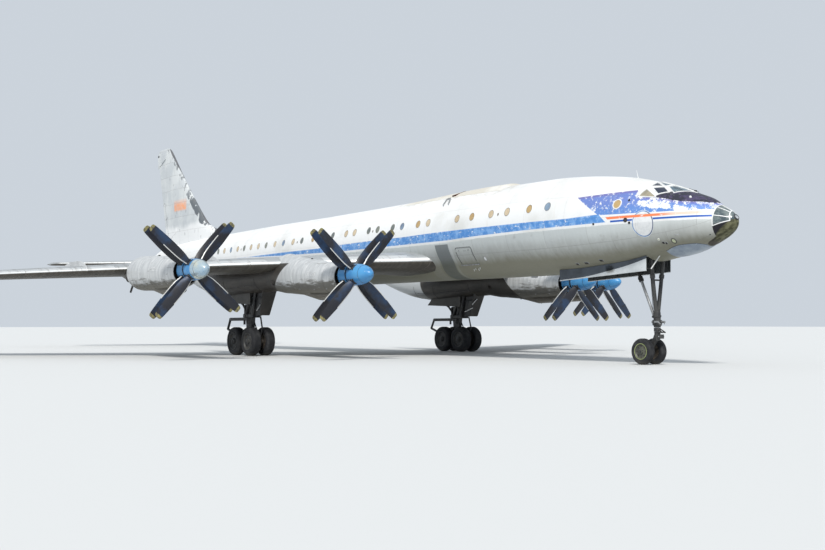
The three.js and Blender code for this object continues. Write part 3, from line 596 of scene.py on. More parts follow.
def pod_metal():
    """Landing gear fairings: the wing's shadow painted near-black brown, and a light rear end."""
    p = Paint("pod_metal")
    fine = p.noise(0.25, 6, roughness=0.7)
    streaks = p.noise(0.4, 6, stretch=(1, 5, 1), seed=8, roughness=0.65)
    # The front part under the wing is painted near-black brown with streaks, as the wing's shadow
    colour = p.mix(p.step(streaks, 0.40, 0.66), (0.026, 0.022, 0.018), (0.060, 0.052, 0.042))
    # The rear end behind that shadow is light, painted darker below as shade
    light = p.mix(p.step(p.z, 3.60, 3.35), (0.50, 0.52, 0.53), (0.16, 0.165, 0.16))
    light = p.mix(p.step(streaks, 0.5, 0.7) * 0.3, light, GRIME)
    # The edge of the wing's painted shadow, a little further back on the outboard side
    slanted = p.z * 0.437 + 26.42
    is_outboard = p.above(p.math("ABSOLUTE", p.x), 6.95)
    sunlit_rear = p.above(p.s, slanted + is_outboard * 1.015, 0.04)
    colour = p.mix(sunlit_rear, colour, light)
    p.bump(fine, 0.004, 0.5)
    return p.done(colour, fine * 0.22 + 0.4, sunlit_rear * 0.3)


def plain(name, colour, other, roughness, metallic=0.0, size=0.2, worn=None):
    """One paint or metal with blotches, fine relief, and worn spots of another colour."""
    p = Paint(name)
    fine = p.noise(size, 6, roughness=0.7)
    broad = p.noise(size * 6, 4, seed=5)
    mixed = p.mix(p.step(broad, 0.40, 0.66), colour, other)
    if worn:
        mixed = p.mix(p.step(fine, 0.62, 0.68), mixed, worn)
    p.bump(fine, 0.002, 0.6)
    return p.done(mixed, fine * 0.25 + (roughness - 0.1), metallic)


def glass(name, tint, other, through):
    """Aged glass: a little dust, and tinted light through it."""
    p = Paint(name)
    dust = p.noise(0.25, 6, roughness=0.7, seed=7)
    colour = p.mix(p.step(dust, 0.42, 0.68), tint, other)
    p.bump(p.noise(0.5, 2), 0.004, 0.3)
    rough = p.step(dust, 0.40, 0.80, 0.06, 0.35)
    return p.done(colour, rough, Transmission_Weight=through, IOR=1.45, Specular_IOR_Level=0.6)


# Stations and heights of the orange patch on the fin, and stations of the fin's front edge by height
FLAG_S = (47.95, 50.12)
FLAG_Z = (9.92, 10.70)
FIN_EDGE = [(0, 42.0), (8.17, 43.33), (8.77, 44.9), (14.3, 50.8), (16, 52.5)]


def tail_skin_paint():
    """Pale grey fin and rudder with peeling, a faded orange patch, chips and a dark band along the front
    edge.
    """
    p = Paint("fin_paint")
    fine = p.noise(0.3, 7, roughness=0.72)
    broad = p.noise(1.5, 5, seed=6)
    tone, seam = p.panels(p.s, p.z, 1.7, 1.05)
    colour = p.mix(p.step(broad, 0.42, 0.65), (0.50, 0.53, 0.55), (0.60, 0.625, 0.63))
    colour = p.mix(tone * 0.25, colour, (0.66, 0.675, 0.68))
    colour = p.mix(p.below(p.z, broad * 0.9 + 8.3, 0.25), colour, WHITE)
    behind = p.s - p.line(p.z, FIN_EDGE, 16)
    peeled = p.band(behind, 0.12, 0.85, 0.1) * p.step(p.z, 12.6, 10.2) * p.above(p.z, 8.5, 0.2)
    flakes = p.noise(0.5, 7, roughness=0.7, stretch=(1, 1, 2.2), seed=14)
    torn = p.step(flakes + peeled * 0.17, 0.585, 0.61)
    colour = p.mix(peeled * torn, colour, (0.11, 0.125, 0.14))
    chipped = p.band(behind, 0.0, 0.5, 0.1) * p.step(flakes, 0.53, 0.57) * 0.8
    colour = p.mix(chipped, colour, (0.14, 0.15, 0.16))
    # A dark band along the very front edge
    colour = p.mix(p.band(behind, -1, 0.16, 0.03) * 0.9, colour, (0.07, 0.07, 0.08))
    faded = p.step(p.z, FLAG_Z[1], FLAG_Z[0] + 0.3, 0.35, 1.0)
    flag = p.band(p.s, *FLAG_S, 0.1) * p.band(p.z, *FLAG_Z, 0.1) * faded
    colour = p.mix(flag * p.step(fine, 0.95, 0.25) * 1.1, colour, (0.86, 0.34, 0.14))
    spots = p.specks(0.28, 0.16, stretch=(1, 1, 1.5)) * p.step(fine, 0.45, 0.6)
    colour = p.mix(spots * 0.5, colour, (0.22, 0.22, 0.23))
    colour = p.mix(seam * 0.3, colour, GRIME)
    p.bump(seam, -0.006)
    p.bump(torn, 0.002, 0.4)
    return p.done(colour, fine * 0.2 + 0.38, 0.05)


def nose_glass():
    """Panes painted with reflections: grey-green above, near-black and olive below."""
    p = Paint("glass_nose")
    dust = p.noise(0.30, 6, roughness=0.7, seed=7)
    smears = p.noise(0.14, 5, stretch=(1, 3, 1), seed=4)
    # The colours by height are painted reflections: lighter above, dark and olive below
    upper = p.mix(p.step(dust, 0.42, 0.64), (0.10, 0.135, 0.155), (0.26, 0.31, 0.31))
    olive = p.mix(p.step(smears, 0.42, 0.62), (0.065, 0.065, 0.028), (0.20, 0.20, 0.11))
    lower = p.mix(p.step(p.s + (p.z - 5.38), 0.38, 0.28), (0.01, 0.009, 0.016), olive)
    lower = p.mix(p.step(p.s, 0.80, 1.00), lower, (0.060, 0.050, 0.034))
    is_upper = p.above(p.z, 5.59 - p.s * 0.268)
    colour = p.mix(is_upper, lower, upper)
    p.bump(p.noise(0.5, 2), 0.004, 0.3)
    rough = p.step(dust, 0.4, 0.8, 0.08, 0.35) + (1 - is_upper) * 0.45
    return p.done(colour, rough, Transmission_Weight=0.35, IOR=1.45, Specular_IOR_Level=0.35)


def blade_paint():
    """Black blades with a bare strip at the front edge and coloured tips."""
    p = Paint("blade_paint")
    reach, edge = (p.node("ShaderNodeAttribute", "Fac", attribute_name=name) for name in ("reach", "edge"))
    fine = p.noise(0.09, 6, roughness=0.72)
    broad = p.noise(0.9, 4, seed=2)
    # The navy blotches on the black are a painted reflection
    colour = p.mix(p.step(broad, 0.46, 0.66), (0.010, 0.011, 0.017), (0.012, 0.035, 0.085))
    colour = p.mix(p.step(fine, 0.6, 0.74) * 0.25, colour, (0.1, 0.105, 0.12))
    strip = p.step(edge, 0.91, 0.95) * p.step(reach, 1.88, 1.86) * p.step(fine, 0.74, 0.6)
    colour = p.mix(strip, colour, (0.66, 0.66, 0.64))
    tip = p.above(reach, fine * 0.06 + 2.63, 0.01)
    colour = p.mix(tip, colour, p.mix(p.step(fine, 0.40, 0.58), (0.27, 0.24, 0.09), (0.10, 0.09, 0.06)))
    p.bump(fine, 0.0015, 0.6)
    return p.done(colour, fine * 0.25 + 0.36, strip * 0.5)


def tyre_rubber():
    """Old black rubber, dusty grey on the shoulders."""
    p = Paint("tyre_rubber")
    fine = p.noise(0.05, 6, roughness=0.75)
    dust = p.noise(0.3, 4, seed=3)
    colour = p.mix(p.step(dust, 0.42, 0.70), (0.011, 0.012, 0.015), (0.030, 0.031, 0.033))
    colour = p.mix(p.step(p.z, 0.2, 0.0) * 0.4, colour, (0.1, 0.095, 0.075))
    p.bump(fine, 0.002, 0.8)
    return p.done(colour, fine * 0.2 + 0.72)


SKIN = body_skin()
FIN_PAINT = tail_skin_paint()
# The third colour of each wing metal is the painted shade on faces that look down
WING_METAL = worn_metal("wing_metal", (0.52, 0.54, 0.55), (0.40, 0.42, 0.43), (0.060, 0.053, 0.040))
EDGE_METAL = worn_metal("edge_metal", (0.60, 0.62, 0.63), (0.50, 0.52, 0.53), (0.070, 0.062, 0.050),
                        roughness=0.30, metallic=0.3, sheet=(3, 2.2))
POD_METAL = pod_metal()
COWL_METAL = cowl_metal()
WHITE_PAINT = plain("white_paint", WHITE, (0.62, 0.63, 0.62), 0.42, worn=(0.44, 0.44, 0.43))
FRAME_PAINT = plain("frame_paint", (0.74, 0.75, 0.74), (0.55, 0.56, 0.56), 0.40, size=0.06)
SPINNER_BLUE = plain("spinner_blue", (0.040, 0.205, 0.46), (0.075, 0.29, 0.56), 0.30, size=0.15,
                     worn=(0.30, 0.45, 0.58))
SPINNER_BARE = plain("spinner_bare", (0.36, 0.49, 0.60), (0.58, 0.61, 0.54), 0.24, 0.4, size=0.14,
                     worn=(0.10, 0.32, 0.58))
BLADE_PAINT = blade_paint()
DARK_RING = plain("dark_ring", (0.022, 0.023, 0.028), (0.042, 0.042, 0.046), 0.50, size=0.1)
RUST_DARK = plain("rust_dark", (0.045, 0.018, 0.012), (0.085, 0.035, 0.025), 0.75, size=0.1)
# Near-black: real soot on the exhaust and drain pipes, and painted shade inside the intakes, the oil cooler
# scoops and the nose vents
SOOT_AND_SHADE = plain("near_black", (0.012, 0.011, 0.010), (0.030, 0.026, 0.022), 0.75, size=0.1)
GEAR_STEEL = plain("gear_steel", (0.026, 0.027, 0.030), (0.060, 0.060, 0.058), 0.45, 0.2, size=0.08,
                   worn=(0.12, 0.10, 0.085))
LIGHT_STEEL = plain("light_steel", (0.30, 0.31, 0.32), (0.20, 0.205, 0.21), 0.38, 0.3, size=0.08,
                    worn=(0.14, 0.12, 0.10))
CHROME = plain("chrome", (0.62, 0.63, 0.64), (0.50, 0.50, 0.50), 0.22, 0.9, size=0.1)
HUB_PAINT = plain("hub_paint", (0.055, 0.058, 0.050), (0.10, 0.105, 0.080), 0.45, size=0.05,
                  worn=(0.18, 0.18, 0.14))
RIM_PAINT = plain("rim_paint", (0.34, 0.40, 0.16), (0.24, 0.28, 0.12), 0.45, size=0.05)
HUB_DARK = plain("hub_dark", (0.030, 0.032, 0.033), (0.055, 0.055, 0.052), 0.5, 0.1, size=0.06)
BRAKE = plain("brake", (0.05, 0.045, 0.04), (0.10, 0.08, 0.06), 0.6, 0.4, size=0.05)
RUBBER = tyre_rubber()
# Near-black painted shade for the wells, the recesses behind doors and the nose doors' inner faces, with
# worn spots
WELL_SHADE = plain("well_shade", (0.040, 0.046, 0.048), (0.022, 0.026, 0.028), 0.6, size=0.12,
                   worn=(0.09, 0.085, 0.075))
INSIDE = plain("inside_paint", (0.09, 0.12, 0.10), (0.05, 0.06, 0.055), 0.6, size=0.2)
DOOR_METAL = plain("door_metal", (0.62, 0.65, 0.67), (0.50, 0.53, 0.55), 0.40, 0.2, size=0.15,
                   worn=(0.32, 0.33, 0.33))
# Dark blue-grey painted shade on the upper band of the nose doors
DOOR_SHADE = plain("door_shade", (0.070, 0.085, 0.105), (0.042, 0.050, 0.062), 0.45, 0.1, size=0.15)
LEG_PANEL = plain("leg_panel", (0.024, 0.022, 0.020), (0.042, 0.038, 0.034), 0.5, 0.1, size=0.15)
FENCE_PAINT = plain("fence_paint", (0.62, 0.63, 0.635), (0.46, 0.47, 0.475), 0.42, 0.2, size=0.2)
HANGING_PANEL = plain("hanging_panel", (0.054, 0.051, 0.045), (0.036, 0.034, 0.030), 0.5, size=0.15)
RADOME_SKIN = plain("radome_skin", (0.17, 0.21, 0.27), (0.30, 0.35, 0.40), 0.40, size=0.14,
                    worn=(0.44, 0.47, 0.50))
GLASS_NOSE = nose_glass()
GLASS_DARK = glass("glass_dark", (0.016, 0.024, 0.050), (0.035, 0.045, 0.075), 0.2)
GLASS_BLUE = glass("glass_blue", (0.085, 0.15, 0.20), (0.20, 0.26, 0.29), 0.3)
# Pale glass for the nose's round front pane, as a painted reflection
GLASS_REFLECTION = glass("glass_reflection", (0.34, 0.37, 0.40), (0.58, 0.60, 0.62), 0.1)
GLASS_TAN = glass("glass_tan", (0.38, 0.34, 0.25), (0.27, 0.25, 0.19), 0.15)
PANE_TAN = plain("pane_tan", (0.47, 0.33, 0.15), (0.40, 0.27, 0.12), 0.24, size=0.10)
PANE_BEIGE = plain("pane_beige", (0.56, 0.46, 0.32), (0.48, 0.38, 0.25), 0.24, size=0.10)
PANE_BLUE = plain("pane_blue", (0.22, 0.30, 0.40), (0.12, 0.17, 0.25), 0.18, size=0.10,
                  worn=(0.45, 0.50, 0.54))
PANE_GREEN = plain("pane_green", (0.20, 0.215, 0.18), (0.11, 0.13, 0.13), 0.18, size=0.10,
                   worn=(0.36, 0.34, 0.28))
WINDOW_EDGE = plain("window_edge", (0.20, 0.18, 0.15), (0.13, 0.12, 0.11), 0.5, size=0.08)
LAMP = plain("lamp", (0.55, 0.58, 0.38), (0.42, 0.44, 0.30), 0.12, size=0.05)
RED_LAMP = plain("red_lamp", (0.50, 0.03, 0.02), (0.36, 0.02, 0.02), 0.15, size=0.05)
GREEN_LAMP = plain("green_lamp", (0.02, 0.30, 0.10), (0.02, 0.22, 0.08), 0.15, size=0.05)
CROWN_PAINT = plain("crown_paint", (0.60, 0.57, 0.50), (0.70, 0.69, 0.65), 0.5, size=0.25,
                    worn=(0.34, 0.28, 0.22))


# Body skins

RING_POINTS = 96
# Nose wheel well: half width, stations and height of its roof. Hatch: side, stations and heights
WELL = {"x": 0.8, "front": 3.75, "rear": 8.67, "top": 4.75}
HATCH = {"side": -1, "front": 13.4, "rear": 14.5, "low": 4.42, "high": 5.16}
CABIN_DOORS = [("passenger_door_front", 9.45, 10.35), ("passenger_door_rear", 28.0, 28.9)]
DOOR_LOW, DOOR_HIGH = 5.0, 6.75
# Gap around doors and hatch, and distance of the hatch's hinge pin from the cabin's axis
GAP = 0.008
HATCH_PIN_REACH = 2.17
# Station where the slanted rings behind the nose glazing end
GLASS_REAR = 2.0


def glass_edge(turn):
    """The station where the nose glazing ends, further back at the bottom."""
    down = min(1, max(0, (-sin(turn) - 0.80) / 0.17))
    return 0.72 + 0.48 * down * down * (3 - 2 * down)


def nose_skin():
    """The nose section, with its bottom strip left open over the nose wheel well."""
    shape = Shape()
    upper, lower, rounded = 84, 12, 10
    well = spread(WELL["front"], WELL["rear"], 30)
    stations = [GLASS_REAR] * rounded + sorted({*spread(GLASS_REAR, WELL["front"], 12), *well, NOSE_BREAK})

    def turns_at(s):
        edge = math.asin(min(0.6 * BODY_HALF(s), WELL["x"]) / BODY_HALF(s))
        start, end = -pi / 2 + edge, 1.5 * pi - edge
        return spread(start, end, upper)[:-1] + spread(end, end + 2 * edge, lower)[:-1]

    def is_open(i, j):
        return j >= upper and WELL["front"] - 1e-6 <= stations[i] < WELL["rear"] - 1e-6

    edges = [(turn, glass_edge(turn)) for turn in turns_at(GLASS_REAR)]
    rings = [[skin_point(edge + share * (GLASS_REAR - edge), turn) for turn, edge in edges]
             for share in spread(0, 1, rounded)[:-1]]
    rings += [[skin_point(s, turn) for turn in turns_at(s)] for s in stations[rounded:]]
    shape.loft(rings, ends=False, skip=is_open)
    shape.piece("nose_skin", SKIN, "white_paint", replaces=("nose_section",))


def hole_turns(side, front, rear, low, high):
    """The turns of a hole's lower and upper edges, at its middle."""
    middle = (front + rear) / 2
    return turn_of(side, middle, low), turn_of(side, middle, high)


def cabin_skin():
    """The cabin section, with holes for the cargo hatch and the passenger doors."""
    shape = Shape()
    openings = [(HATCH["side"], HATCH["front"], HATCH["rear"], HATCH["low"], HATCH["high"])]
    openings += [(1, front, rear, DOOR_LOW, DOOR_HIGH) for _, front, rear in CABIN_DOORS]
    holes = [(spot[1], spot[2], *sorted(hole_turns(*spot))) for spot in openings]
    lines = sorted({turn for hole in holes for turn in hole[2:]})
    turns = sorted({turn for turn in spread(-pi / 2, 1.5 * pi, RING_POINTS)[:-1]
                    if all(abs(turn - line) > 0.02 for line in lines)} | set(lines))
    cuts = sorted({s for hole in holes for s in hole[:2]})
    stations = sorted({s for s in spread(NOSE_BREAK, TAIL_BREAK, 42)
                       if all(abs(s - cut) > 0.1 for cut in cuts)} | set(cuts))

    def is_open(i, j):
        middle_s, middle_turn = (stations[i] + stations[i + 1]) / 2, turns[j] + 1e-4
        return any(a < middle_s < b and low < middle_turn < high for a, b, low, high in holes)

    shape.loft([[skin_point(s, turn) for turn in turns] for s in stations], ends=False, skip=is_open)
    shape.piece("cabin_skin", SKIN, "white_paint", replaces=("cabin_section",))


def tail_skin():
    """The tail section with its rounded end."""
    shape = Shape()
    stations = spread(TAIL_BREAK, 53.3, 60) + spread(53.3, LENGTH, 8)[1:]
    shape.loft([[skin_point(s, t) for t in full_turn(RING_POINTS)] for s in stations], ends=False)
    shape.lathe([(0, 0.15), (0.03, 0.13), (0.05, 0.07), (0.055, 0)],
                body_at(LENGTH, 0) - Vector((0.15, 0, 0)))
    shape.piece("tail_skin", SKIN, "white_paint", replaces=("tail_section",))


def side_panel(side, front, rear, low, high, depth=0.05):
    """A curved panel in a hole of the skin."""
    panel = Shape()
    start, end = hole_turns(side, front, rear, low, high)
    inset = GAP / CABIN_RADIUS * (1 if end > start else -1)
    turns = spread(start + inset, end - inset, 16)
    stations = spread(front + GAP, rear - GAP, 6)
    outer = [[skin_point(s, turn, 0.002) for turn in turns] for s in stations]
    inner = [[skin_point(s, turn, -depth) for turn in reversed(turns)] for s in stations]
    panel.loft([a + b for a, b in zip(outer, inner)])
    return panel


def recess(side, front, rear, low, high, depth, name):
    """The liner and sill behind a door or hatch, painted near-black as shade."""
    shape = Shape()
    turns = spread(*hole_turns(side, front, rear, low, high), 12)
    rim = [(front, turn) for turn in turns] + [(rear, turn) for turn in reversed(turns)]
    shape.loft([[skin_point(s, turn, out) for s, turn in rim] for out in (-0.001, -depth)], ends=False)
    shape.loft([[skin_point(s, turn, -depth) for turn in turns] for s in (front, rear)], around=False,
               ends=False)
    for s in (front + 0.03, rear - 0.03):
        shape.tube([skin_point(s, turn, -depth + 0.02) for turn in turns], 0.018, 8)
    shape.piece(name, WELL_SHADE, "gear_steel")


def cabin_doors():
    """The two passenger doors, with frames, handles and windows."""
    for name, front, rear in CABIN_DOORS:
        recess(1, front, rear, DOOR_LOW, DOOR_HIGH, 0.16, name + "_recess")
        panel = side_panel(1, front, rear, DOOR_LOW, DOOR_HIGH)
        panel.piece(name + "_panel", SKIN, "white_paint", replaces=(name,))
        trim = Shape()
        turns = spread(*hole_turns(1, front, rear, DOOR_LOW - 0.04, DOOR_HIGH + 0.04), 16)
        loop = [skin_point(front - 0.04, turn, 0.004) for turn in turns]
        loop += [skin_point(rear + 0.04, turn, 0.004) for turn in reversed(turns)]
        trim.tube(loop + loop[:1], 0.014, 6)
        handle = on_side(1, (front + rear) / 2 + 0.22, 5.85, 0.03)
        trim.box(handle - Vector((0.02, 0.10, 0.025)), handle + Vector((0.02, 0.10, 0.025)), 0.008)
        trim.piece(name + "_frame", LIGHT_STEEL, "bare_metal")
        pane = Shape()
        add_window(pane, 1, (front + rear) / 2, 6.42, 0)
        pane.piece(name + "_window", [PANE_GREEN, WHITE_PAINT, WINDOW_EDGE], "glazing")


# Cabin windows: stations, heights, and the pane of each (0 tan, 1 blue, 2 beige, 3 green grey)
WINDOW_HALF = (0.170, 0.180)
WINDOW_POINTS = 24
WINDOW_FRONT = [8.23, 9.33, 10.77, 11.86, 13.22, 14.30]
WINDOW_PAIRS = [start + gap for start in spread(16.54, 25.22, 4) for gap in (0, 0.82)]
WINDOW_REAR = [27.28, 28.51, 29.51, 30.67, 31.74, 32.91, 33.95, 34.98, 35.96, 36.93, 37.96, 39.0, 40.0]
WINDOWS = WINDOW_FRONT + WINDOW_PAIRS + WINDOW_REAR
PANE_KINDS = (1, 0, 2, 2, 0, 2, 2, 0, 1, 3, 3, 3, 2, 2, 3, 2, 0, 3, 2, 1, 2, 3, 2, 2, 3, 2, 1, 2, 3)
window_line = Curve([(8, 6.61), (11, 6.59), (17, 6.52), (25, 6.47), (29, 6.38), (40, 6.37)])


def oval(side, s, z, wide, tall, out):
    """A ring of points around a spot on the side of the body."""
    return [on_side(side, s + wide * cos(t), z + tall * sin(t), out) for t in full_turn(WINDOW_POINTS)]


def add_window(shape, side, s, z, mark):
    """A sunk pane in a low raised rim. Finishes 1 and 2 are the rim's and its seal's."""
    def rings(*rows):
        return [oval(side, s, z, WINDOW_HALF[0] + grow, WINDOW_HALF[1] + grow, out) for grow, out in rows]

    shape.loft(rings((0.030, -0.004), (0.026, 0.006), (0.012, 0.007), (0.006, 0.002)), ends=False, mark=1)
    shape.loft(rings((0.006, 0.002), (-0.016, 0.003)), ends=False, mark=2)
    centre = [on_side(side, s, z, 0.006)] * WINDOW_POINTS
    shape.loft([*rings((-0.016, 0.003), (-0.07, 0.006)), centre], ends=False, mark=mark)


def cabin_windows():
    """The two rows of windows, and the small dark marks beside some of them."""
    places = {0: 0, 1: 3, 2: 4, 3: 5}
    for tag, side in SIDES:
        shape = Shape()
        for kind, s in zip(PANE_KINDS if side < 0 else reversed(PANE_KINDS), WINDOWS):
            if side > 0 and any(front - 0.3 < s < rear + 0.3 for _, front, rear in CABIN_DOORS):
                continue
            add_window(shape, side, s, window_line(s), places[kind])
        for s in (11.36, 21.3, 29.0, 36.4):
            spot = [on_side(side, s + 0.05 * cos(turn), window_line(s) - 0.06 + 0.07 * sin(turn), 0.003)
                    for turn in full_turn(12)]
            shape.plate(spot, (side * -0.006, 0, 0), mark=2)
        finishes = [PANE_TAN, WHITE_PAINT, WINDOW_EDGE, PANE_BLUE, PANE_BEIGE, PANE_GREEN]
        shape.piece("cabin_windows_" + tag, finishes, "glazing")


def round_port(shape, side, s, z, radius, marks):
    """A round pane in a rim, on the side of the body. marks are the pane's and the rim's."""
    def rings(*rows):
        return [oval(side, s, z, radius * share, radius * share, out) for share, out in rows]

    seat, middle = (1, 0.0018), 0.006
    shape.loft(rings((1.28, -0.004), (1.22, 0.018), (1.03, 0.018), seat), ends=False, mark=marks[1])
    centre = [on_side(side, s, z, middle)] * WINDOW_POINTS
    shape.loft([*rings(seat, (0.5, middle)), centre], ends=False, mark=marks[0])


# Nose ports: station, height, radius, finishes of pane and rim. Vents: station, height, half length
PORTS = [(4.50, 6.41, 0.165, (0, 1)), (4.03, 5.74, 0.070, (2, 4)), (3.86, 5.62, 0.040, (2, 4)),
         (4.00, 6.53, 0.035, (2, 2)), (5.59, 5.68, 0.035, (2, 2)), (2.22, 4.84, 0.075, (3, 2)),
         (2.78, 4.92, 0.035, (3, 1))]
VENTS = [(2.66, 4.79, 0.045), (2.55, 4.77, 0.035), (7.31, 4.16, 0.07), (6.80, 4.18, 0.09),
         (5.95, 4.25, 0.08)]


def nose_details():
    """Ports, vents and lamps on the sides of the nose."""
    for tag, side in SIDES:
        shape = Shape()
        for port in PORTS:
            round_port(shape, side, *port)
        shape.piece("nose_ports_" + tag, [PANE_TAN, WHITE_PAINT, DARK_RING, LAMP, SOOT_AND_SHADE], "glazing")
        vents = Shape()
        for s, z, half in VENTS:
            corners = ((-half, -0.035), (half, -0.035), (half, 0.035), (-half, 0.035))
            rims = [[on_side(side, s + grow * a, z + grow * b, out) for a, b in corners]
                    for grow, out in ((1.3, -0.002), (1, 0.012), (0.8, 0.002))]
            vents.loft(rims[:2], ends=False, mark=1)
            # The vent's inside is near-black as painted shade
            vents.loft(rims[1:])
        vents.piece("nose_vents_" + tag, [SOOT_AND_SHADE, LIGHT_STEEL], "bare_metal")


# Nose glazing: turns of the long frames at their rear and front ends, in degrees up from the side
GLAZING_FRAMES = [(90, 90), (60, 63), (23, 26), (-13, 6)]
GLASS_FRONT = Curve([(0, 0.165), (6, 0.17), (26, 0.19), (62, 0.235), (90, 0.26)])
FRONT_RING_LOW = 4
FRONT_PANE = {"s": 0.065, "z": 5.65, "radius": 0.095, "tilt": 30}


def nose_glazing():
    """One shell of panes, the frames that run to the round front pane, and the seat behind them."""
    around = full_turn(64)
    panes = Shape()
    for out in (-0.006, -0.022):
        panes.loft([[skin_point(0.02 + share * (glass_edge(turn) - 0.02), turn, out) for turn in around]
                    for share in (0, 0.03, 0.08, 0.15, 0.25, 0.37, 0.5, 0.63, 0.76, 0.88, 1.0)], ends=False)
    panes.loft([[skin_point(0.02, turn, -0.006) for turn in around],
                [Vector((0, 0.005, 5.49))] * len(around)], ends=False)
    panes.piece("nose_panes", GLASS_NOSE, "glazing", replaces=("nose_glazing",))

    frames = Shape()

    def strip(points, width):
        """A raised strip along (station, turn) points."""
        path = [skin_point(s, turn) for s, turn in points]
        rings = []
        for i, ((s, turn), spot) in enumerate(zip(points, path)):
            along = path[min(i + 1, len(path) - 1)] - path[max(i - 1, 0)]
            normal = (skin_point(s, turn, 0.1) - spot).normalized()
            across = along.cross(normal).normalized() * width / 2
            sunk, raised = normal * -0.02, normal * 0.012
            rings.append([spot - across + sunk, spot - across * 0.8 + raised, spot + across * 0.8 + raised,
                          spot + across + sunk])
        frames.loft(rings)

    for rear, front in GLAZING_FRAMES:
        for mirrored in ((False, True) if rear < 90 else (False,)):
            points = []
            for share in spread(0, 1, 8):
                angle = rear + (front - rear) * share
                turn = radians(180 - angle if mirrored else angle)
                start = glass_edge(turn)
                points.append((start + (GLASS_FRONT(angle) - start) * share, turn))
            strip(points, 0.042)
    front_ring = spread(FRONT_RING_LOW, 180 - FRONT_RING_LOW, 40)
    strip([(GLASS_FRONT(90 - abs(90 - angle)), radians(angle)) for angle in front_ring], 0.045)
    rear_ring = [radians(angle) for angle in spread(-14, 194, 48)]
    strip([(glass_edge(turn) - 0.005, turn) for turn in rear_ring], 0.055)
    tilt = radians(FRONT_PANE["tilt"])
    axis = Vector((0, -cos(tilt), sin(tilt)))
    centre = (0, FRONT_PANE["s"], FRONT_PANE["z"])
    r = FRONT_PANE["radius"]
    rim = [(-0.10, r + 0.025), (0.01, r + 0.03), (0.030, r + 0.015), (0.030, r), (0.01, r - 0.012)]
    frames.lathe(rim, centre, axis, mark=1)
    frames.piece("nose_glazing_frames", [WHITE_PAINT, DARK_RING], "white_paint")
    # Its pale glass is a painted reflection
    front = Shape()
    front.lathe([(0.018, r + 0.005), (0.024, r * 0.6), (0.028, 0)], centre, axis)
    front.piece("nose_front_pane", GLASS_REFLECTION, "glazing")

    inside = Shape()
    inside.loft([[skin_point(s, turn, -0.10) for turn in around] for s in (1.26, 1.6, 2.2)], ends=False)
    inside.loft([[skin_point(2.2, turn, -0.10) for turn in around],
                 [Vector((0, 2.2, 5.6))] * len(around)], ends=False)
    inside.box((-0.55, 0.85, 5.0), (0.55, 2.15, 5.05), 0.01)
    inside.box((-0.24, 1.55, 5.05), (0.24, 2.0, 5.36), 0.05)
    inside.box((-0.24, 1.92, 5.3), (0.24, 2.05, 5.95), 0.05)
    inside.tube([(0, 0.85, 5.05), (0, 0.72, 5.3), (0, 0.62, 5.42)], 0.05, 12)
    inside.box((-0.50, 1.2, 5.05), (-0.32, 1.6, 5.5), 0.03)
    inside.piece("nose_inside", INSIDE, "gear_steel")


# Windscreen panes of one side: (across, station) corners and the glass, 0 dark, 1 blue or 2 tan.
# Front, side and rear, then the two in the roof
PANES = [
    ([(0.035, 1.98), (0.035, 2.84), (0.45, 2.90), (0.71, 2.43)], 1),
    ([(0.80, 2.66), (1.03, 2.95), (0.86, 3.34), (0.62, 3.02)], 0),
    ([(1.18, 2.99), (1.345, 3.64), (1.04, 3.54)], 2),
    ([(0.05, 3.02), (0.05, 3.60), (0.22, 3.56), (0.46, 3.07)], 1),
    ([(0.56, 3.15), (0.36, 3.56), (0.76, 3.48)], 0),
]
EDGE_STEPS = 6


def windscreen():
    """Panes sunk in raised frames, on both sides of the middle post."""
    panes, frames = Shape(), Shape()

    def grown(corners, width):
        """The corners moved out square to the outline's edges."""
        middle = Vector((sum(c[0] for c in corners), sum(c[1] for c in corners))) / len(corners)
        count = len(corners)
        moved = []
        for i, corner in enumerate(corners):
            here = Vector(corner)
            before, after = Vector(corners[i - 1]), Vector(corners[(i + 1) % count])
            normals = []
            for edge, spot in ((here - before, here), (after - here, here)):
                normal = Vector((edge.y, -edge.x)).normalized()
                normals.append(normal if normal.dot(spot - middle) > 0 else -normal)
            bisector = (normals[0] + normals[1]).normalized()
            moved.append(here + bisector * width / max(0.4, bisector.dot(normals[0])))
        return moved

    def outline(corners, side, out):
        spots = [Vector(a).lerp(Vector(b), t / EDGE_STEPS)
                 for a, b in zip(corners, corners[1:] + corners[:1]) for t in range(EDGE_STEPS)]
        return [on_top(side * spot.x, spot.y, out) for spot in spots]

    for side in (1, -1):
        for corners, mark in PANES:
            corners = [Vector(c) for c in corners]
            middle = sum(corners, Vector((0, 0))) / len(corners)
            rows = [outline([c.lerp(middle, share) for c in corners], side, 0.004 + 0.006 * share)
                    for share in (0, 0.5)]
            rows.append([on_top(side * middle.x, middle.y, 0.012)] * len(rows[0]))
            panes.loft(rows, ends=False, mark=mark)
            edge = [(0.045, -0.003), (0.036, 0.020), (0.010, 0.022), (0.0, 0.004)]
            frames.loft([outline(grown(corners, grow), side, out) for grow, out in edge], ends=False)
    frames.tube([on_top(0, s, 0.018) for s in spread(1.95, 3.62, 12)], 0.022, 8)
    for x, low, high in ((0.20, 2.06, 2.5), (-0.42, 2.30, 2.75)):
        frames.tube([on_top(x, low - 0.06, 0.02), on_top(x, low, 0.045), on_top(x + 0.05, high, 0.035)],
                    0.010, 6, mark=1)
    glasses = [GLASS_DARK, GLASS_BLUE, GLASS_TAN]
    panes.piece("windscreen_panes", glasses, "glazing", replaces=("windscreen",))
    frames.piece("windscreen_frames", [FRAME_PAINT, DARK_RING], "white_paint")


# Chin radome: station and height of its upper edge
RADOME = Curve([(1.18, 4.66), (1.5, 4.72), (2.07, 4.69), (2.45, 4.61), (2.75, 4.50)])


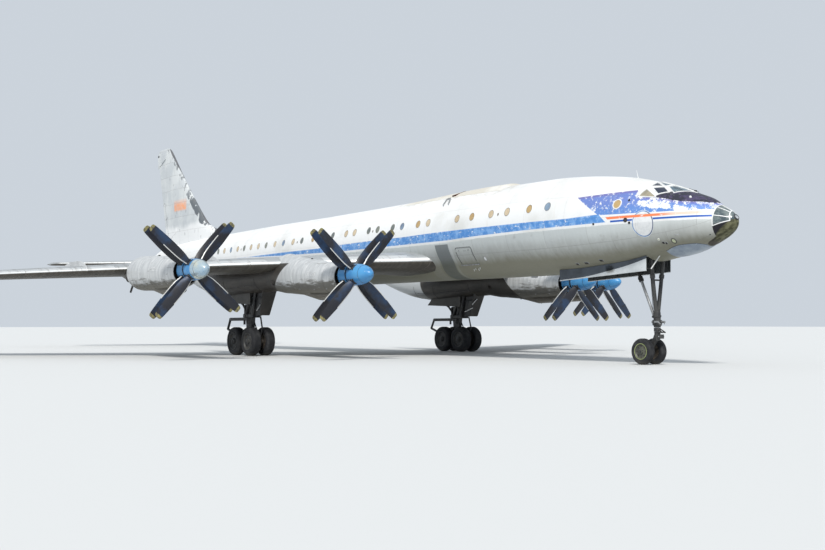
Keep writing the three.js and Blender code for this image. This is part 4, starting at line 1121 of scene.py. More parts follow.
def radome():
    """The bulged shell under the nose, with a seal along its edge."""
    shape = Shape()
    rows = []
    front, rear, points = 1.24, 2.80, 24
    for s in spread(front, rear, 20):
        turn = turn_of(1, s, RADOME(s))
        share = 4 * (s - front + 0.04) * (rear + 0.04 - s) / (rear - front + 0.08) ** 2
        row = []
        for k, spot in enumerate(spread(turn, -pi - turn, points)):
            swell = sin(pi * k / points) ** 0.6 if 0 < k < points else 0
            row.append(skin_point(s, spot, (0.010 + 0.05 * share) * swell - (0.004 if not swell else 0)))
        rows.append(row)
    shape.loft(rows, around=False, ends=False)
    edge = [row[0] for row in rows] + [row[-1] for row in reversed(rows)]
    shape.tube(edge, 0.010, 6, mark=1)
    shape.piece("radome_shell", [RADOME_SKIN, DARK_RING], "bare_metal", replaces=("chin_radome",))


def nose_well():
    """The open well of the nose wheels: walls, ribs and pipes."""
    shape = Shape()
    x, front, rear, top = WELL["x"], WELL["front"], WELL["rear"], WELL["top"]

    def floor_at(s):
        return body_at(s, -pi / 2 + math.asin(x / BODY_HALF(s))).z

    stations = spread(front, rear, 20)
    for side in (1, -1):
        shape.loft([[(side * x, s, floor_at(s)), (side * x, s, top)] for s in stations], around=False)
    shape.loft([[(place, s, top) for s in stations] for place in (-x, x)], around=False)
    for s in (front, rear):
        turns = spread(-pi / 2 - math.asin(x / BODY_HALF(s)), -pi / 2 + math.asin(x / BODY_HALF(s)), 8)
        low = [body_at(s, t) for t in turns]
        shape.loft([low, [Vector((p.x, s, top)) for p in low]], around=False)
    for s in spread(front + 0.3, rear - 0.3, 8):
        shape.box((-x, s - 0.02, top - 0.10), (x, s + 0.02, top), 0.004)
        for side in (1, -1):
            shape.box((side * x - 0.04, s - 0.02, floor_at(s) + 0.02), (side * x + 0.04, s + 0.02, top),
                      0.004)
    for side, z in ((1, 4.45), (-1, 4.5), (-1, 4.38)):
        shape.tube([(side * (x - 0.05), front + 0.1, z), (side * (x - 0.05), rear - 0.1, z)], 0.018, 8,
                   mark=1)
    # The walls and ribs are near-black as painted shade
    shape.piece("nose_well_liner", [WELL_SHADE, LIGHT_STEEL], "gear_steel")


NOSE_DOOR_X = 0.85
# The upper outer sheet and the inner sheet of each door are painted dark as shade
# Sheets of a door: first and last level, faces across from the door's middle, finish
NOSE_DOOR_SHEETS = [(0, 1, 0.02, 0.004, 0), (1, 2, 0.02, 0.004, 1), (0, 2, 0.004, -0.015, 3)]
# Share of the door's height that its white lower panel takes. Above it, dark blue-grey painted shade
WHITE_SHARE = Curve([(3.75, 0.82), (5.6, 0.42), (7.4, 0.08), (8.7, 0.05)])


def nose_doors():
    """The long doors that hang open beside the nose wheel well."""
    for tag, side in SIDES:
        shape = Shape()
        x = side * NOSE_DOOR_X
        front, rear = WELL["front"], WELL["rear"]

        def top_at(s):
            return body_at(s, -math.acos(min(1, NOSE_DOOR_X / BODY_HALF(s)))).z - 0.01

        low = Curve([(front, 3.76), (rear, 3.50)])
        stations = spread(front + (0.24 if side > 0 else 0.01), rear - 0.01, 24)
        for first, last, outer, inner, mark in NOSE_DOOR_SHEETS:
            rings = []
            for s in stations:
                bottom, height = low(s), top_at(s) - low(s)
                levels = (0, WHITE_SHARE(s), 1)
                z1, z2 = bottom + levels[first] * height, bottom + levels[last] * height
                rings.append([(x + side * outer, s, z1), (x + side * outer, s, z2),
                              (x + side * inner, s, z2), (x + side * inner, s, z1)])
            shape.loft(rings, mark=mark)
        for s in spread(front + 0.35, rear - 0.35, 6):
            rib = (x - side * 0.06, s - 0.02, low(s) + 0.05)
            shape.box(rib, (x - side * 0.014, s + 0.02, top_at(s) - 0.04), 0.004, mark=3)
        shape.tube([(x, s, low(s) + 0.006) for s in stations], 0.02, 8, mark=0)
        for s in (front + 0.5, front + 2.4, rear - 0.6):
            hinge = Vector((x - side * 0.04, s, top_at(s) + 0.02))
            shape.tube([hinge - Vector((0, 0.08, 0)), hinge + Vector((0, 0.08, 0))], 0.03, 10, mark=2)
        finishes = [DOOR_METAL, DOOR_SHADE, LIGHT_STEEL, WELL_SHADE]
        shape.piece("nose_door_panel_" + tag, finishes, "white_paint", replaces=("nose_gear_door_" + tag,))
    rods = Shape()
    low_end = Vector((-0.80, 3.56, 3.82))
    rods.tube([(-0.60, 3.26, 4.36), low_end], 0.022, 8)
    rods.tube([low_end, (-NOSE_DOOR_X, 3.80, 3.86)], 0.012, 8, mark=1)
    rods.piece("nose_door_rods", [WHITE_PAINT, GEAR_STEEL], "gear_steel")


def cargo_hatch():
    """The hatch panel with its handle and hinge, and the hold behind it."""
    side, front, rear, low, high = (HATCH[k] for k in ("side", "front", "rear", "low", "high"))
    recess(side, front, rear, low, high, 0.17, "cargo_hatch_recess")
    panel = side_panel(side, front, rear, low, high, depth=0.10)
    for s in (front + 0.2, rear - 0.2):
        latch = on_side(side, s, high - 0.10, 0.012)
        panel.box(latch - Vector((0.008, 0.05, 0.02)), latch + Vector((0.012, 0.05, 0.02)), 0.005, mark=1)
    handle = ((0, 0.0), (0.01, 0.03), (0.15, 0.03), (0.16, 0.0))
    pull = [on_side(side, 13.8 + a, high - 0.12, out) for a, out in handle]
    panel.tube(pull, 0.010, 8, mark=1)
    turn = hole_turns(side, front, rear, low, high)[0]
    pin = Vector((HATCH_PIN_REACH * cos(turn), 0, CABIN_AXIS + HATCH_PIN_REACH * sin(turn)))
    for s in spread(front + 0.1, rear - 0.1, 4):
        panel.tube([pin + Vector((0, s - 0.09, 0)), pin + Vector((0, s + 0.09, 0))], 0.028, 12, mark=1)
    panel.tube([pin + Vector((0, front - 0.09, 0)), pin + Vector((0, rear + 0.09, 0))], 0.015, 10, mark=1)
    strap = [on_side(side, front, low + 0.05, 0.004), on_side(side, front, low, 0.03), pin]
    panel.loft([[(spot.x, s, spot.z) for s in (front + 0.02, rear - 0.02)] for spot in strap], around=False)
    panel.piece("cargo_hatch_panel", [SKIN, LIGHT_STEEL], "bare_metal", "cargo_hatch",
                replaces=("cargo_hatch",))
    trim = Shape()
    for s in (front - 0.079, rear + 0.079):
        foot = on_side(side, s, low, -0.02)
        signs = [(a, b) for a in (-1, 1) for b in (-1, 1)]
        points = [foot + Vector((0, a * 0.025, b * 0.05)) for a, b in signs]
        points += [Vector((pin.x - 0.02, s + a * 0.025, pin.z + b * 0.03)) for a, b in signs]
        trim.hull(points)
    corner, middle_s, middle_z = 0.10, (front + rear) / 2, (low + high) / 2
    outline = []
    for a, b in ((1, 1), (-1, 1), (-1, -1), (1, -1)):
        start = math.atan2(b, a) - pi / 4
        for k in range(5):
            angle = start + pi / 2 * k / 4
            outline.append((middle_s + a * ((rear - front) / 2 + 0.035 - corner) + corner * cos(angle),
                            middle_z + b * ((high - low) / 2 + 0.035 - corner) + corner * sin(angle)))
    seal = [on_side(side, s, z, 0.003) for s, z in outline[:10]]
    trim.tube(seal, 0.011, 6, mark=1)
    for (s1, z1), (s2, z2) in (outline[9:11], outline[-1:] + outline[:1]):
        path = [on_side(side, s1 + (s2 - s1) * share, z1 + (z2 - z1) * share, 0.003)
                for share in spread(0, 0.86, 8)]
        trim.tube(path, 0.011, 6, mark=1)
    round_port(trim, side, 12.68, 4.62, 0.075, (2, 0))
    for s, z in ((13.45, 4.27), (13.62, 4.22), (13.80, 4.25), (13.98, 4.21)):
        foot = on_side(side, s, z, -0.01)
        trim.tube([foot, on_side(side, s, z, 0.04), on_side(side, s + 0.03, z - 0.05, 0.05)], 0.014, 8,
                  mark=2)
    trim.piece("cargo_hatch_trim", [LIGHT_STEEL, DARK_RING, WHITE_PAINT], "bare_metal")


def jack_pad(shape, face, depth):
    """A round pad that looks down, from its face up into the skin."""
    profile = [(depth, 0.15), (0.02, 0.15), (0, 0.14), (0, 0.05), (0.02, 0.04), (0.02, 0)]
    shape.lathe(profile, face, (0, 0, 1), 24)


def body_trim():
    """The crown panel, the whip antenna, lamps and the jacking pads."""
    crown = Shape()
    front, rear, half = 12.25, 20.0, 1.08
    rows = []
    for s in spread(front, rear, 40):
        rise = 0.11 * min(1, (s - front) / 0.10, (rear - s) / 6.5 + 0.02)
        across = spread(-half, half, 20)
        rows.append([on_top(x, s, rise * (1 - abs(x / half) ** 5) + 0.002) for x in across])
    crown.loft(rows, around=False)
    hole = [(-0.45, 15.70), (-1.03, 15.90), (-1.00, 15.66), (-0.50, 15.50)]
    crown.loft([[on_top(x, s, out) for x, s in hole] for out in (0.02, 0.09)], mark=1)
    crown.piece("crown_panel", [CROWN_PAINT, RUST_DARK], "white_paint")
    trim = Shape()
    foot = on_top(0, 4.9, -0.01)
    trim.tube([foot, foot + Vector((0, 0.03, 0.06)), foot + Vector((0, 0.10, 0.34))],
              [0.022, 0.014, 0.006], 10)
    bow = ((15.87, 7.30, 0.0), (15.90, 7.36, 0.05), (16.02, 7.62, 0.05), (15.97, 7.66, 0.05),
           (15.80, 7.67, 0.05), (15.74, 7.62, 0.05), (15.52, 7.38, 0.05), (15.50, 7.33, 0.0))
    trim.tube([on_side(-1, *spot) for spot in bow], 0.032, 8, mark=1)
    crest = BODY_HIGH(1.95)
    probe = [(0, 1.95, crest - 0.02), (0, 1.93, crest + 0.06), (0, 2.02, crest + 0.07)]
    trim.tube(probe, 0.030, 10, mark=2)
    for side in (1, -1):
        foot = on_side(side, 1.72, 6.51)
        trim.lathe([(-0.02, 0.05), (0.02, 0.05), (0.05, 0.035), (0.06, 0)], foot,
                   foot - Vector((0, 1.72, 5.6)), 16)
    for side in (1, -1):
        root = on_side(side, 2.05, 5.05, 0.0)
        trim.tube([root, root + Vector((side * 0.12, -0.02, 0)), root + Vector((side * 0.14, -0.30, 0))],
                  0.011, 8, mark=3)
    trim.piece("antennas", [WHITE_PAINT, LIGHT_STEEL, DARK_RING, CHROME], "white_paint")
    lamps = Shape()
    tail_lamp = (0, 53.95, 6.38)
    lamps.lathe([(-0.03, 0.08), (0.02, 0.08), (0.03, 0.06)], tail_lamp, (0, 1, 0), 20, mark=1)
    lamps.lathe([(0.03, 0.06), (0.07, 0.05), (0.09, 0.03), (0.095, 0)], tail_lamp, (0, 1, 0), 20)
    lamps.piece("body_lamps", [LAMP, LIGHT_STEEL], "glazing")
    pads = Shape()
    for s, face in ((11.2, 3.74), (41.0, 4.5)):
        jack_pad(pads, (0, s, face), 0.2)
    pads.piece("body_jack_pads", LIGHT_STEEL, "bare_metal")


nose_skin()
cabin_skin()
tail_skin()
cabin_doors()
cabin_windows()
nose_details()
nose_glazing()
windscreen()
radome()
nose_well()
nose_doors()
cargo_hatch()
body_trim()

# Aerofoil: half its thickness as a share of the whole, by the square root of the share of its length
AEROFOIL = Curve([(0, 0), (0.11, 0.165), (0.224, 0.30), (0.40, 0.45), (0.60, 0.50), (0.787, 0.37),
                  (0.866, 0.243), (1, 0.022)])


def aerofoil_side(front, chord, thick):
    """(station, half thickness) points of one side of an aerofoil, from front to rear."""
    shares = [(1 - cos(pi * i / 27)) / 2 for i in range(28)]
    return [(front + share * chord, AEROFOIL(math.sqrt(share)) * thick) for share in shares]


class Planform:
    """A wing: rows of (across, height, thickness), and its outline seen from above.

    edge and chord are the front edge's station and the length in the aircraft's middle, sweep and
    taper are how much they change for each metre out, and tip is the end of the rounded tip.
    """

    def __init__(self, rows, edge, sweep, chord, taper, tip):
        self.z, self.thick = (Curve([(row[0], row[k]) for row in rows]) for k in (1, 2))
        self.edge, self.sweep, self.chord, self.taper, self.tip = edge, sweep, chord, taper, tip
        self.last = rows[-1][0]

    def front(self, x):
        return self.edge + self.sweep * x

    def length(self, x):
        return self.chord - self.taper * x

    def section(self, side, x, flare=0.0):
        """An aerofoil's outline at a distance out, thicker and longer in front with some flare."""
        inner = min(x, self.last)
        front, chord = self.front(x) - flare * 0.9, self.length(x) + flare * 0.9
        thick = self.thick(inner) * (1 + 0.6 * flare)
        z = self.z(inner)
        if x > self.last:
            share = (x - self.last) / (self.tip - self.last)
            round_off = math.sqrt(max(0, 1 - share ** 2))
            front, chord = front + chord * 0.38 * (1 - round_off), chord * (0.25 + 0.75 * round_off)
            thick *= 0.25 + 0.75 * round_off
        outline = aerofoil_side(front, chord, thick)
        upper = [(side * x, s, z + h) for s, h in outline]
        return upper + [(side * x, s, z - h) for s, h in reversed(outline[1:])]


WING = Planform([(0.9, 4.72, 1.12), (6.95, 4.58, 0.86), (25.2, 3.73, 0.28)],
                15.44, 0.74, 9.07, 0.2337, 25.55)
TAILPLANE = Planform([(0.3, 5.98, 0.62), (8.3, 5.88, 0.24)], 46.25, 0.64, 5.95, 0.45, 8.5)
# Gap around a hinged surface, and its hinge line as a share of the chord
CLEARANCE = 0.014
WING_HINGE, TAIL_HINGE = 0.75, 0.68
# Hinged surfaces: distances out of their ends. REAR_TAPER is how fast an aerofoil's half thickness
# falls to the rear, with a thickness and chord of 1
WING_SURFACES = [("flap_inner", 2.75, 6.0), ("flap_outer", 8.85, 15.6), ("aileron", 15.85, 24.6)]
ELEVATOR = (1.5, 8.0)
REAR_TAPER = 0.37 / 0.38


def hinge_frame(plan, line, side, x1, x2):
    """The hinge line's ends, its directions, and the surface's half thickness and reach there."""
    def point(x):
        return Vector((side * x, plan.front(x) + line * plan.length(x), plan.z(x)))

    start, end = point(x1), point(x2)
    axis = (end - start).normalized()
    back = Vector((0, 1, 0))
    back = (back - axis * back.dot(axis)).normalized()
    up = back.cross(axis).normalized()
    slope = (end.y - start.y) / (x2 - x1)
    rear_slope = plan.sweep - plan.taper
    sizes = []
    for x in (x1, x2):
        half = plan.thick(x) * REAR_TAPER * (1 - line)
        reach = (1 - line) * plan.length(x) * math.hypot(1, slope) / (1 + slope * rear_slope)
        sizes.append((half, reach))
    return start, end, axis, back, up, sizes


def cut_space(start, end, axis, back, up, sizes):
    """A closed mesh of the space that a hinged surface needs."""
    length = (end - start).length
    tool = bmesh.new()
    corners = [(-CLEARANCE, -sizes[0][0] - CLEARANCE), (length + CLEARANCE, -sizes[1][0] - CLEARANCE),
               (length + CLEARANCE, sizes[1][1] + 0.6), (-CLEARANCE, sizes[0][1] + 0.6)]
    rows = [[tool.verts.new(at(*(start + axis * t + back * p + up * n))) for t, p in corners]
            for n in (-0.9, 0.9)]
    for i in range(4):
        k = (i + 1) % 4
        tool.faces.new((rows[0][i], rows[0][k], rows[1][k], rows[1][i]))
    tool.faces.new(rows[0])
    tool.faces.new(rows[1])
    bmesh.ops.recalc_face_normals(tool, faces=tool.faces)
    mesh = bpy.data.meshes.new("tool")
    tool.to_mesh(mesh)
    tool.free()
    return bpy.data.objects.new("tool", mesh)


def carve(thing, tools):
    """Cuts the tools out of a piece for good, and sets its sharp edges again."""
    for tool in tools:
        bpy.context.scene.collection.objects.link(tool)
        modifier = thing.modifiers.new("cut", "BOOLEAN")
        modifier.operation = "DIFFERENCE"
        modifier.solver = "EXACT"
        modifier.object = tool
    bpy.context.view_layer.update()
    result = bpy.data.meshes.new_from_object(thing.evaluated_get(bpy.context.evaluated_depsgraph_get()))
    thing.modifiers.clear()
    thing.data = result
    for tool in tools:
        bpy.data.objects.remove(tool)
    thing.data.set_sharp_from_angle(angle=radians(30))


def hinged_surface(name, finish, start, end, axis, back, up, sizes, tabs):
    """A flap, aileron, elevator or rudder: round nose, flat sides, a blunt rear edge and tabs."""
    shape = Shape()
    length = (end - start).length
    edge = 0.011

    def size_at(share):
        """Half thickness at the hinge line and reach behind it, at a share of the length."""
        (half1, reach1), (half2, reach2) = sizes
        return half1 + (half2 - half1) * share, reach1 + (reach2 - reach1) * share

    def ring(t):
        half, reach = size_at(t / length)
        round_nose = [(half * cos(a), half * sin(a)) for a in (pi / 2 + pi * i / 16 for i in range(17))]
        tail = [(reach, -edge), (reach + 0.006, 0), (reach, edge)]
        bulge = [(p, half + (edge - half) * (p / reach)) for p in (0.75 * reach, 0.5 * reach, 0.25 * reach)]
        lower = [(p, -h) for p, h in reversed(bulge)]
        return [start + axis * t + back * p + up * n for p, n in [*round_nose, *lower, *tail, *bulge]]

    shape.loft([ring(t) for t in spread(0.004, length - 0.004, 24)])
    pin = min(0.03, 0.4 * min(half for half, _ in sizes))
    for t in (-0.05, length - 0.02):
        shape.tube([start + axis * t, start + axis * (t + 0.07)], pin, 12, mark=1)

    def spot(along, behind, lift):
        """A spot at shares of the length and of the reach, lifted off the hinge's plane."""
        return start + axis * along * length + back * (size_at(along)[1] * behind) + up * lift

    for first, last in tabs:
        for sign in (1, -1):
            corners = ((first, 0.99), (first, 0.78), (last, 0.78), (last, 0.99))
            path = []
            for along, behind in corners:
                half = size_at(along)[0]
                path.append(spot(along, behind, sign * (half + (edge - half) * behind + 0.001)))
            shape.tube(path, 0.008, 4, mark=2)
        middle = (first + last) / 2
        half = size_at(middle)[0]
        horn = ((0.62, half * 0.38 + 0.005), (0.66, half * 0.34 + 0.05), (0.80, half * 0.2 + 0.05),
                (0.82, half * 0.18))
        shape.tube([spot(middle, behind, -lift) for behind, lift in horn], 0.012, 6, mark=1)
    shape.piece(name + "_skin", [finish, LIGHT_STEEL, DARK_RING], "bare_metal", name, replaces=(name,))


# Distances out of the fences, and (across, station, height) of the jack pad
FENCES = (10.0, 15.2)
WING_PAD = (10.6, 25.6, 3.98)
FENCE_HALF = 0.012


def wing_fence(shape, side, x):
    """A thin fence from the front edge over the wing."""
    height = Curve([(-0.005, 0.0), (0.02, 0.10), (0.06, 0.17), (0.2, 0.25), (0.45, 0.22), (0.62, 0.12),
                    (0.68, 0.0)])
    rings = []
    for share in spread(-0.004, 0.68, 30):
        s = WING.front(x) + share * WING.length(x)
        foot = WING.z(x) + WING.thick(x) * AEROFOIL(math.sqrt(max(share, 0))) - 0.03
        head = foot + 0.02 + height(share)
        across = ((-FENCE_HALF, foot), (-FENCE_HALF, head - 0.01), (0, head), (FENCE_HALF, head - 0.01),
                  (FENCE_HALF, foot))
        rings.append([(side * x + dx, s, z) for dx, z in across])
    shape.loft(rings)


def wings():
    """Each wing with its hinged surfaces, fences, jack pad, heated strips and lamp."""
    for tag, side in SIDES:
        shape = Shape()
        tip = [25.3, 25.4, 25.48, 25.53, 25.549]
        stations = [1.3, 1.6, 1.8, 2.0, 2.2, 2.45, 2.75] + spread(3.2, 25.2, 46) + tip
        rings = [WING.section(side, x, flare=max(0.0, (2.75 - x) / 1.45) ** 2 * 0.25) for x in stations]
        shape.loft(rings)
        thing = shape.piece("wing_skin_" + tag, WING_METAL, "bare_metal", replaces=("wing_" + tag,))
        frames = [hinge_frame(WING, WING_HINGE, side, x1, x2) for _, x1, x2 in WING_SURFACES]
        carve(thing, [cut_space(*parts) for parts in frames])
        for (name, _, _), parts in zip(WING_SURFACES, frames):
            tabs = {"aileron": [(0.04, 0.30), (0.36, 0.52)]}.get(name, [])
            hinged_surface(f"{name}_{tag}", WING_METAL, *parts, tabs)
        trim = Shape()
        for x in FENCES:
            wing_fence(trim, side, x)
        x, s, face = WING_PAD
        jack_pad(trim, (side * x, s, face), 0.35)
        trim.piece("wing_fences_" + tag, FENCE_PAINT, "bare_metal")
        for letter, x1, x2 in (("a", 8.1, 11.9), ("b", 14.1, 25.0), ("c", 2.3, 5.9)):
            edge_strip(side, tag, x1, x2, letter)
        lamp = Shape()
        tip = Vector((side * 25.42, WING.front(25.4) + 0.9, 3.74))
        lamp.lathe([(-0.08, 0.05), (0.1, 0.06), (0.2, 0.05), (0.26, 0.02), (0.27, 0)], tip, (0, -1, 0), 16)
        lamp.piece("wing_tip_lamp_" + tag, RED_LAMP if side > 0 else GREEN_LAMP, "glazing")


def edge_strip(side, tag, x1, x2, letter, plan=WING):
    """The bright heated strip along a front edge."""
    shape = Shape()
    rings = []
    for x in spread(x1, x2, 24):
        thick, chord = plan.thick(x), plan.length(x)
        shares = [0.05, 0.03, 0.016, 0.007, 0.002, 0]
        upper = [(a, AEROFOIL(math.sqrt(a)) * thick + 0.003) for a in shares]
        lower = [(a, -h) for a, h in reversed(upper[:-1])]
        rings.append([(side * x, plan.front(x) + a * chord - (0.004 if a < 0.03 else 0), plan.z(x) + h)
                      for a, h in upper + lower])
    shape.loft(rings, around=False)
    shape.piece(f"edge_strip_{letter}_{tag}", EDGE_METAL, "bare_metal")


def tailplanes():
    """Each tailplane with its elevator and heated strip."""
    for tag, side in SIDES:
        shape = Shape()
        stations = spread(0.5, 8.3, 20) + [8.36, 8.42, 8.47, 8.499]
        shape.loft([TAILPLANE.section(side, x) for x in stations])
        replaced = ("tailplane_" + tag,)
        thing = shape.piece("tailplane_skin_" + tag, WING_METAL, "bare_metal", replaces=replaced)
        parts = hinge_frame(TAILPLANE, TAIL_HINGE, side, *ELEVATOR)
        carve(thing, [cut_space(*parts)])
        hinged_surface("elevator_" + tag, WING_METAL, *parts, [(0.05, 0.45)])
        edge_strip(side, tag, 1.4, 8.2, "tail", TAILPLANE)


# Fin: stations of its front and rear edges and its thickness, by height
FIN_FRONT = Curve([(6.6, 40.9), (7.6, 41.9), (8.17, 43.33), (8.44, 44.27), (8.77, 44.9), (9.4, 45.72),
                   (10.27, 46.72), (11.39, 47.91), (13.13, 49.67), (14.3, 50.8), (14.62, 51.15),
                   (14.80, 51.5), (14.85, 51.75)])
FIN_REAR = Curve([(6.6, 51.75), (8.17, 52.1), (14.3, 53.66), (14.6, 53.6), (14.80, 53.3), (14.85, 53.0)])
FIN_THICK = Curve([(6.6, 0.5), (8.17, 0.56), (8.77, 0.58), (14.3, 0.26), (14.7, 0.17), (14.85, 0.05)])
RUDDER_LOW, RUDDER_HIGH = Vector((0, 49.84, 8.4)), Vector((0, 52.04, 14.05))


def fin_and_rudder():
    """The fin with its fillet, rudder and lamp."""
    shape = Shape()
    rings = []
    for z in [6.9, 7.2, 7.5, 7.8] + spread(8.0, 14.3, 36) + [14.45, 14.6, 14.7, 14.78, 14.82, 14.848]:
        front, rear, thick = FIN_FRONT(z), FIN_REAR(z), FIN_THICK(z)
        outline = aerofoil_side(front, rear - front, thick)
        rings.append([(w, s, z) for s, w in outline] + [(-w, s, z) for s, w in reversed(outline[1:])])
    shape.loft(rings)
    fin = shape.piece("fin_skin", FIN_PAINT, "white_paint", replaces=("fin",))
    axis = (RUDDER_HIGH - RUDDER_LOW).normalized()
    back = (Vector((0, 1, 0)) - axis * axis.y).normalized()
    up = back.cross(axis).normalized()
    lean = math.atan2(RUDDER_HIGH.y - RUDDER_LOW.y, RUDDER_HIGH.z - RUDDER_LOW.z)
    sizes = [(0.150, 2.26 * cos(lean)), (0.075, 1.50 * cos(lean))]
    parts = (RUDDER_LOW, RUDDER_HIGH, axis, back, up, sizes)
    carve(fin, [cut_space(*parts)])
    hinged_surface("rudder", FIN_PAINT, *parts, [(0.08, 0.5)])
    lamp = Shape()
    lamp.lathe([(0, 0.05), (0.05, 0.07), (0.2, 0.06), (0.26, 0.03), (0.27, 0)], (0, 53.35, 14.42),
               (0, 1, 0), 16)
    lamp.piece("fin_lamp", DARK_RING, "glazing")


wings()
tailplanes()
fin_and_rudder()

# Engines: distance out, station of the front propeller, height, and each side's angle of the blades
ENGINES = [
    {"name": "inner", "x": 6.95, "disc": 15.23, "z": 3.85, "rest": {"l": 45.0, "r": 46.8}},
    {"name": "outer", "x": 12.99, "disc": 19.15, "z": 4.06, "rest": {"l": 47.0, "r": 49.8}},
]
# From the front propeller to the rear one, and from that to the cowling's lip
DISC_SPACING = 0.66
LIP_BEHIND = 0.38
# Radius of the spinner and of the blade tips, and the blades' pitch in degrees: at the tip, and what
# twist adds towards the middle
SPINNER = 0.49
BLADE_TIP = 2.8
BLADE_PITCH = {"tip": 4, "twist": 17}
# Cowling rows: behind the lip, half height, half width, drop
COWL = {"inner": [(0.02, 0.61, 0.61, 0.06), (0.12, 0.68, 0.67, 0.08), (0.9, 0.75, 0.75, 0.10),
                  (2.4, 0.83, 0.79, 0.02), (3.5, 0.885, 0.80, -0.065), (4.4, 0.94, 0.80, -0.18),
                  (5.0, 0.975, 0.80, -0.255), (5.6, 0.905, 0.80, -0.245), (6.2, 0.74, 0.80, -0.17)],
        "outer": [(0.02, 0.61, 0.61, 0.06), (0.12, 0.68, 0.67, 0.07), (0.9, 0.75, 0.75, 0.09),
                  (2.4, 0.81, 0.79, 0.05), (3.5, 0.83, 0.80, 0.01), (4.5, 0.84, 0.80, -0.02),
                  (5.1, 0.775, 0.77, -0.025), (5.25, 0.66, 0.66, -0.04), (6.2, 0.44, 0.50, -0.10),
                  (7.6, 0.14, 0.20, -0.14)]}
# Intake rows: behind the lip, radius
THROAT = [(0.75, 0.50), (0.4, 0.52), (0.15, 0.555), (0.04, 0.575), (0.0, 0.592)]
# Oil cooler rows: behind the lip, half width, half height, distance below the thrust line
OIL_COOLER = [(0.55, 0.30, 0.16, 0.86), (0.62, 0.32, 0.18, 0.865), (1.2, 0.335, 0.21, 0.87),
              (2.1, 0.34, 0.22, 0.88), (3.1, 0.25, 0.15, 0.76), (3.6, 0.20, 0.12, 0.70)]


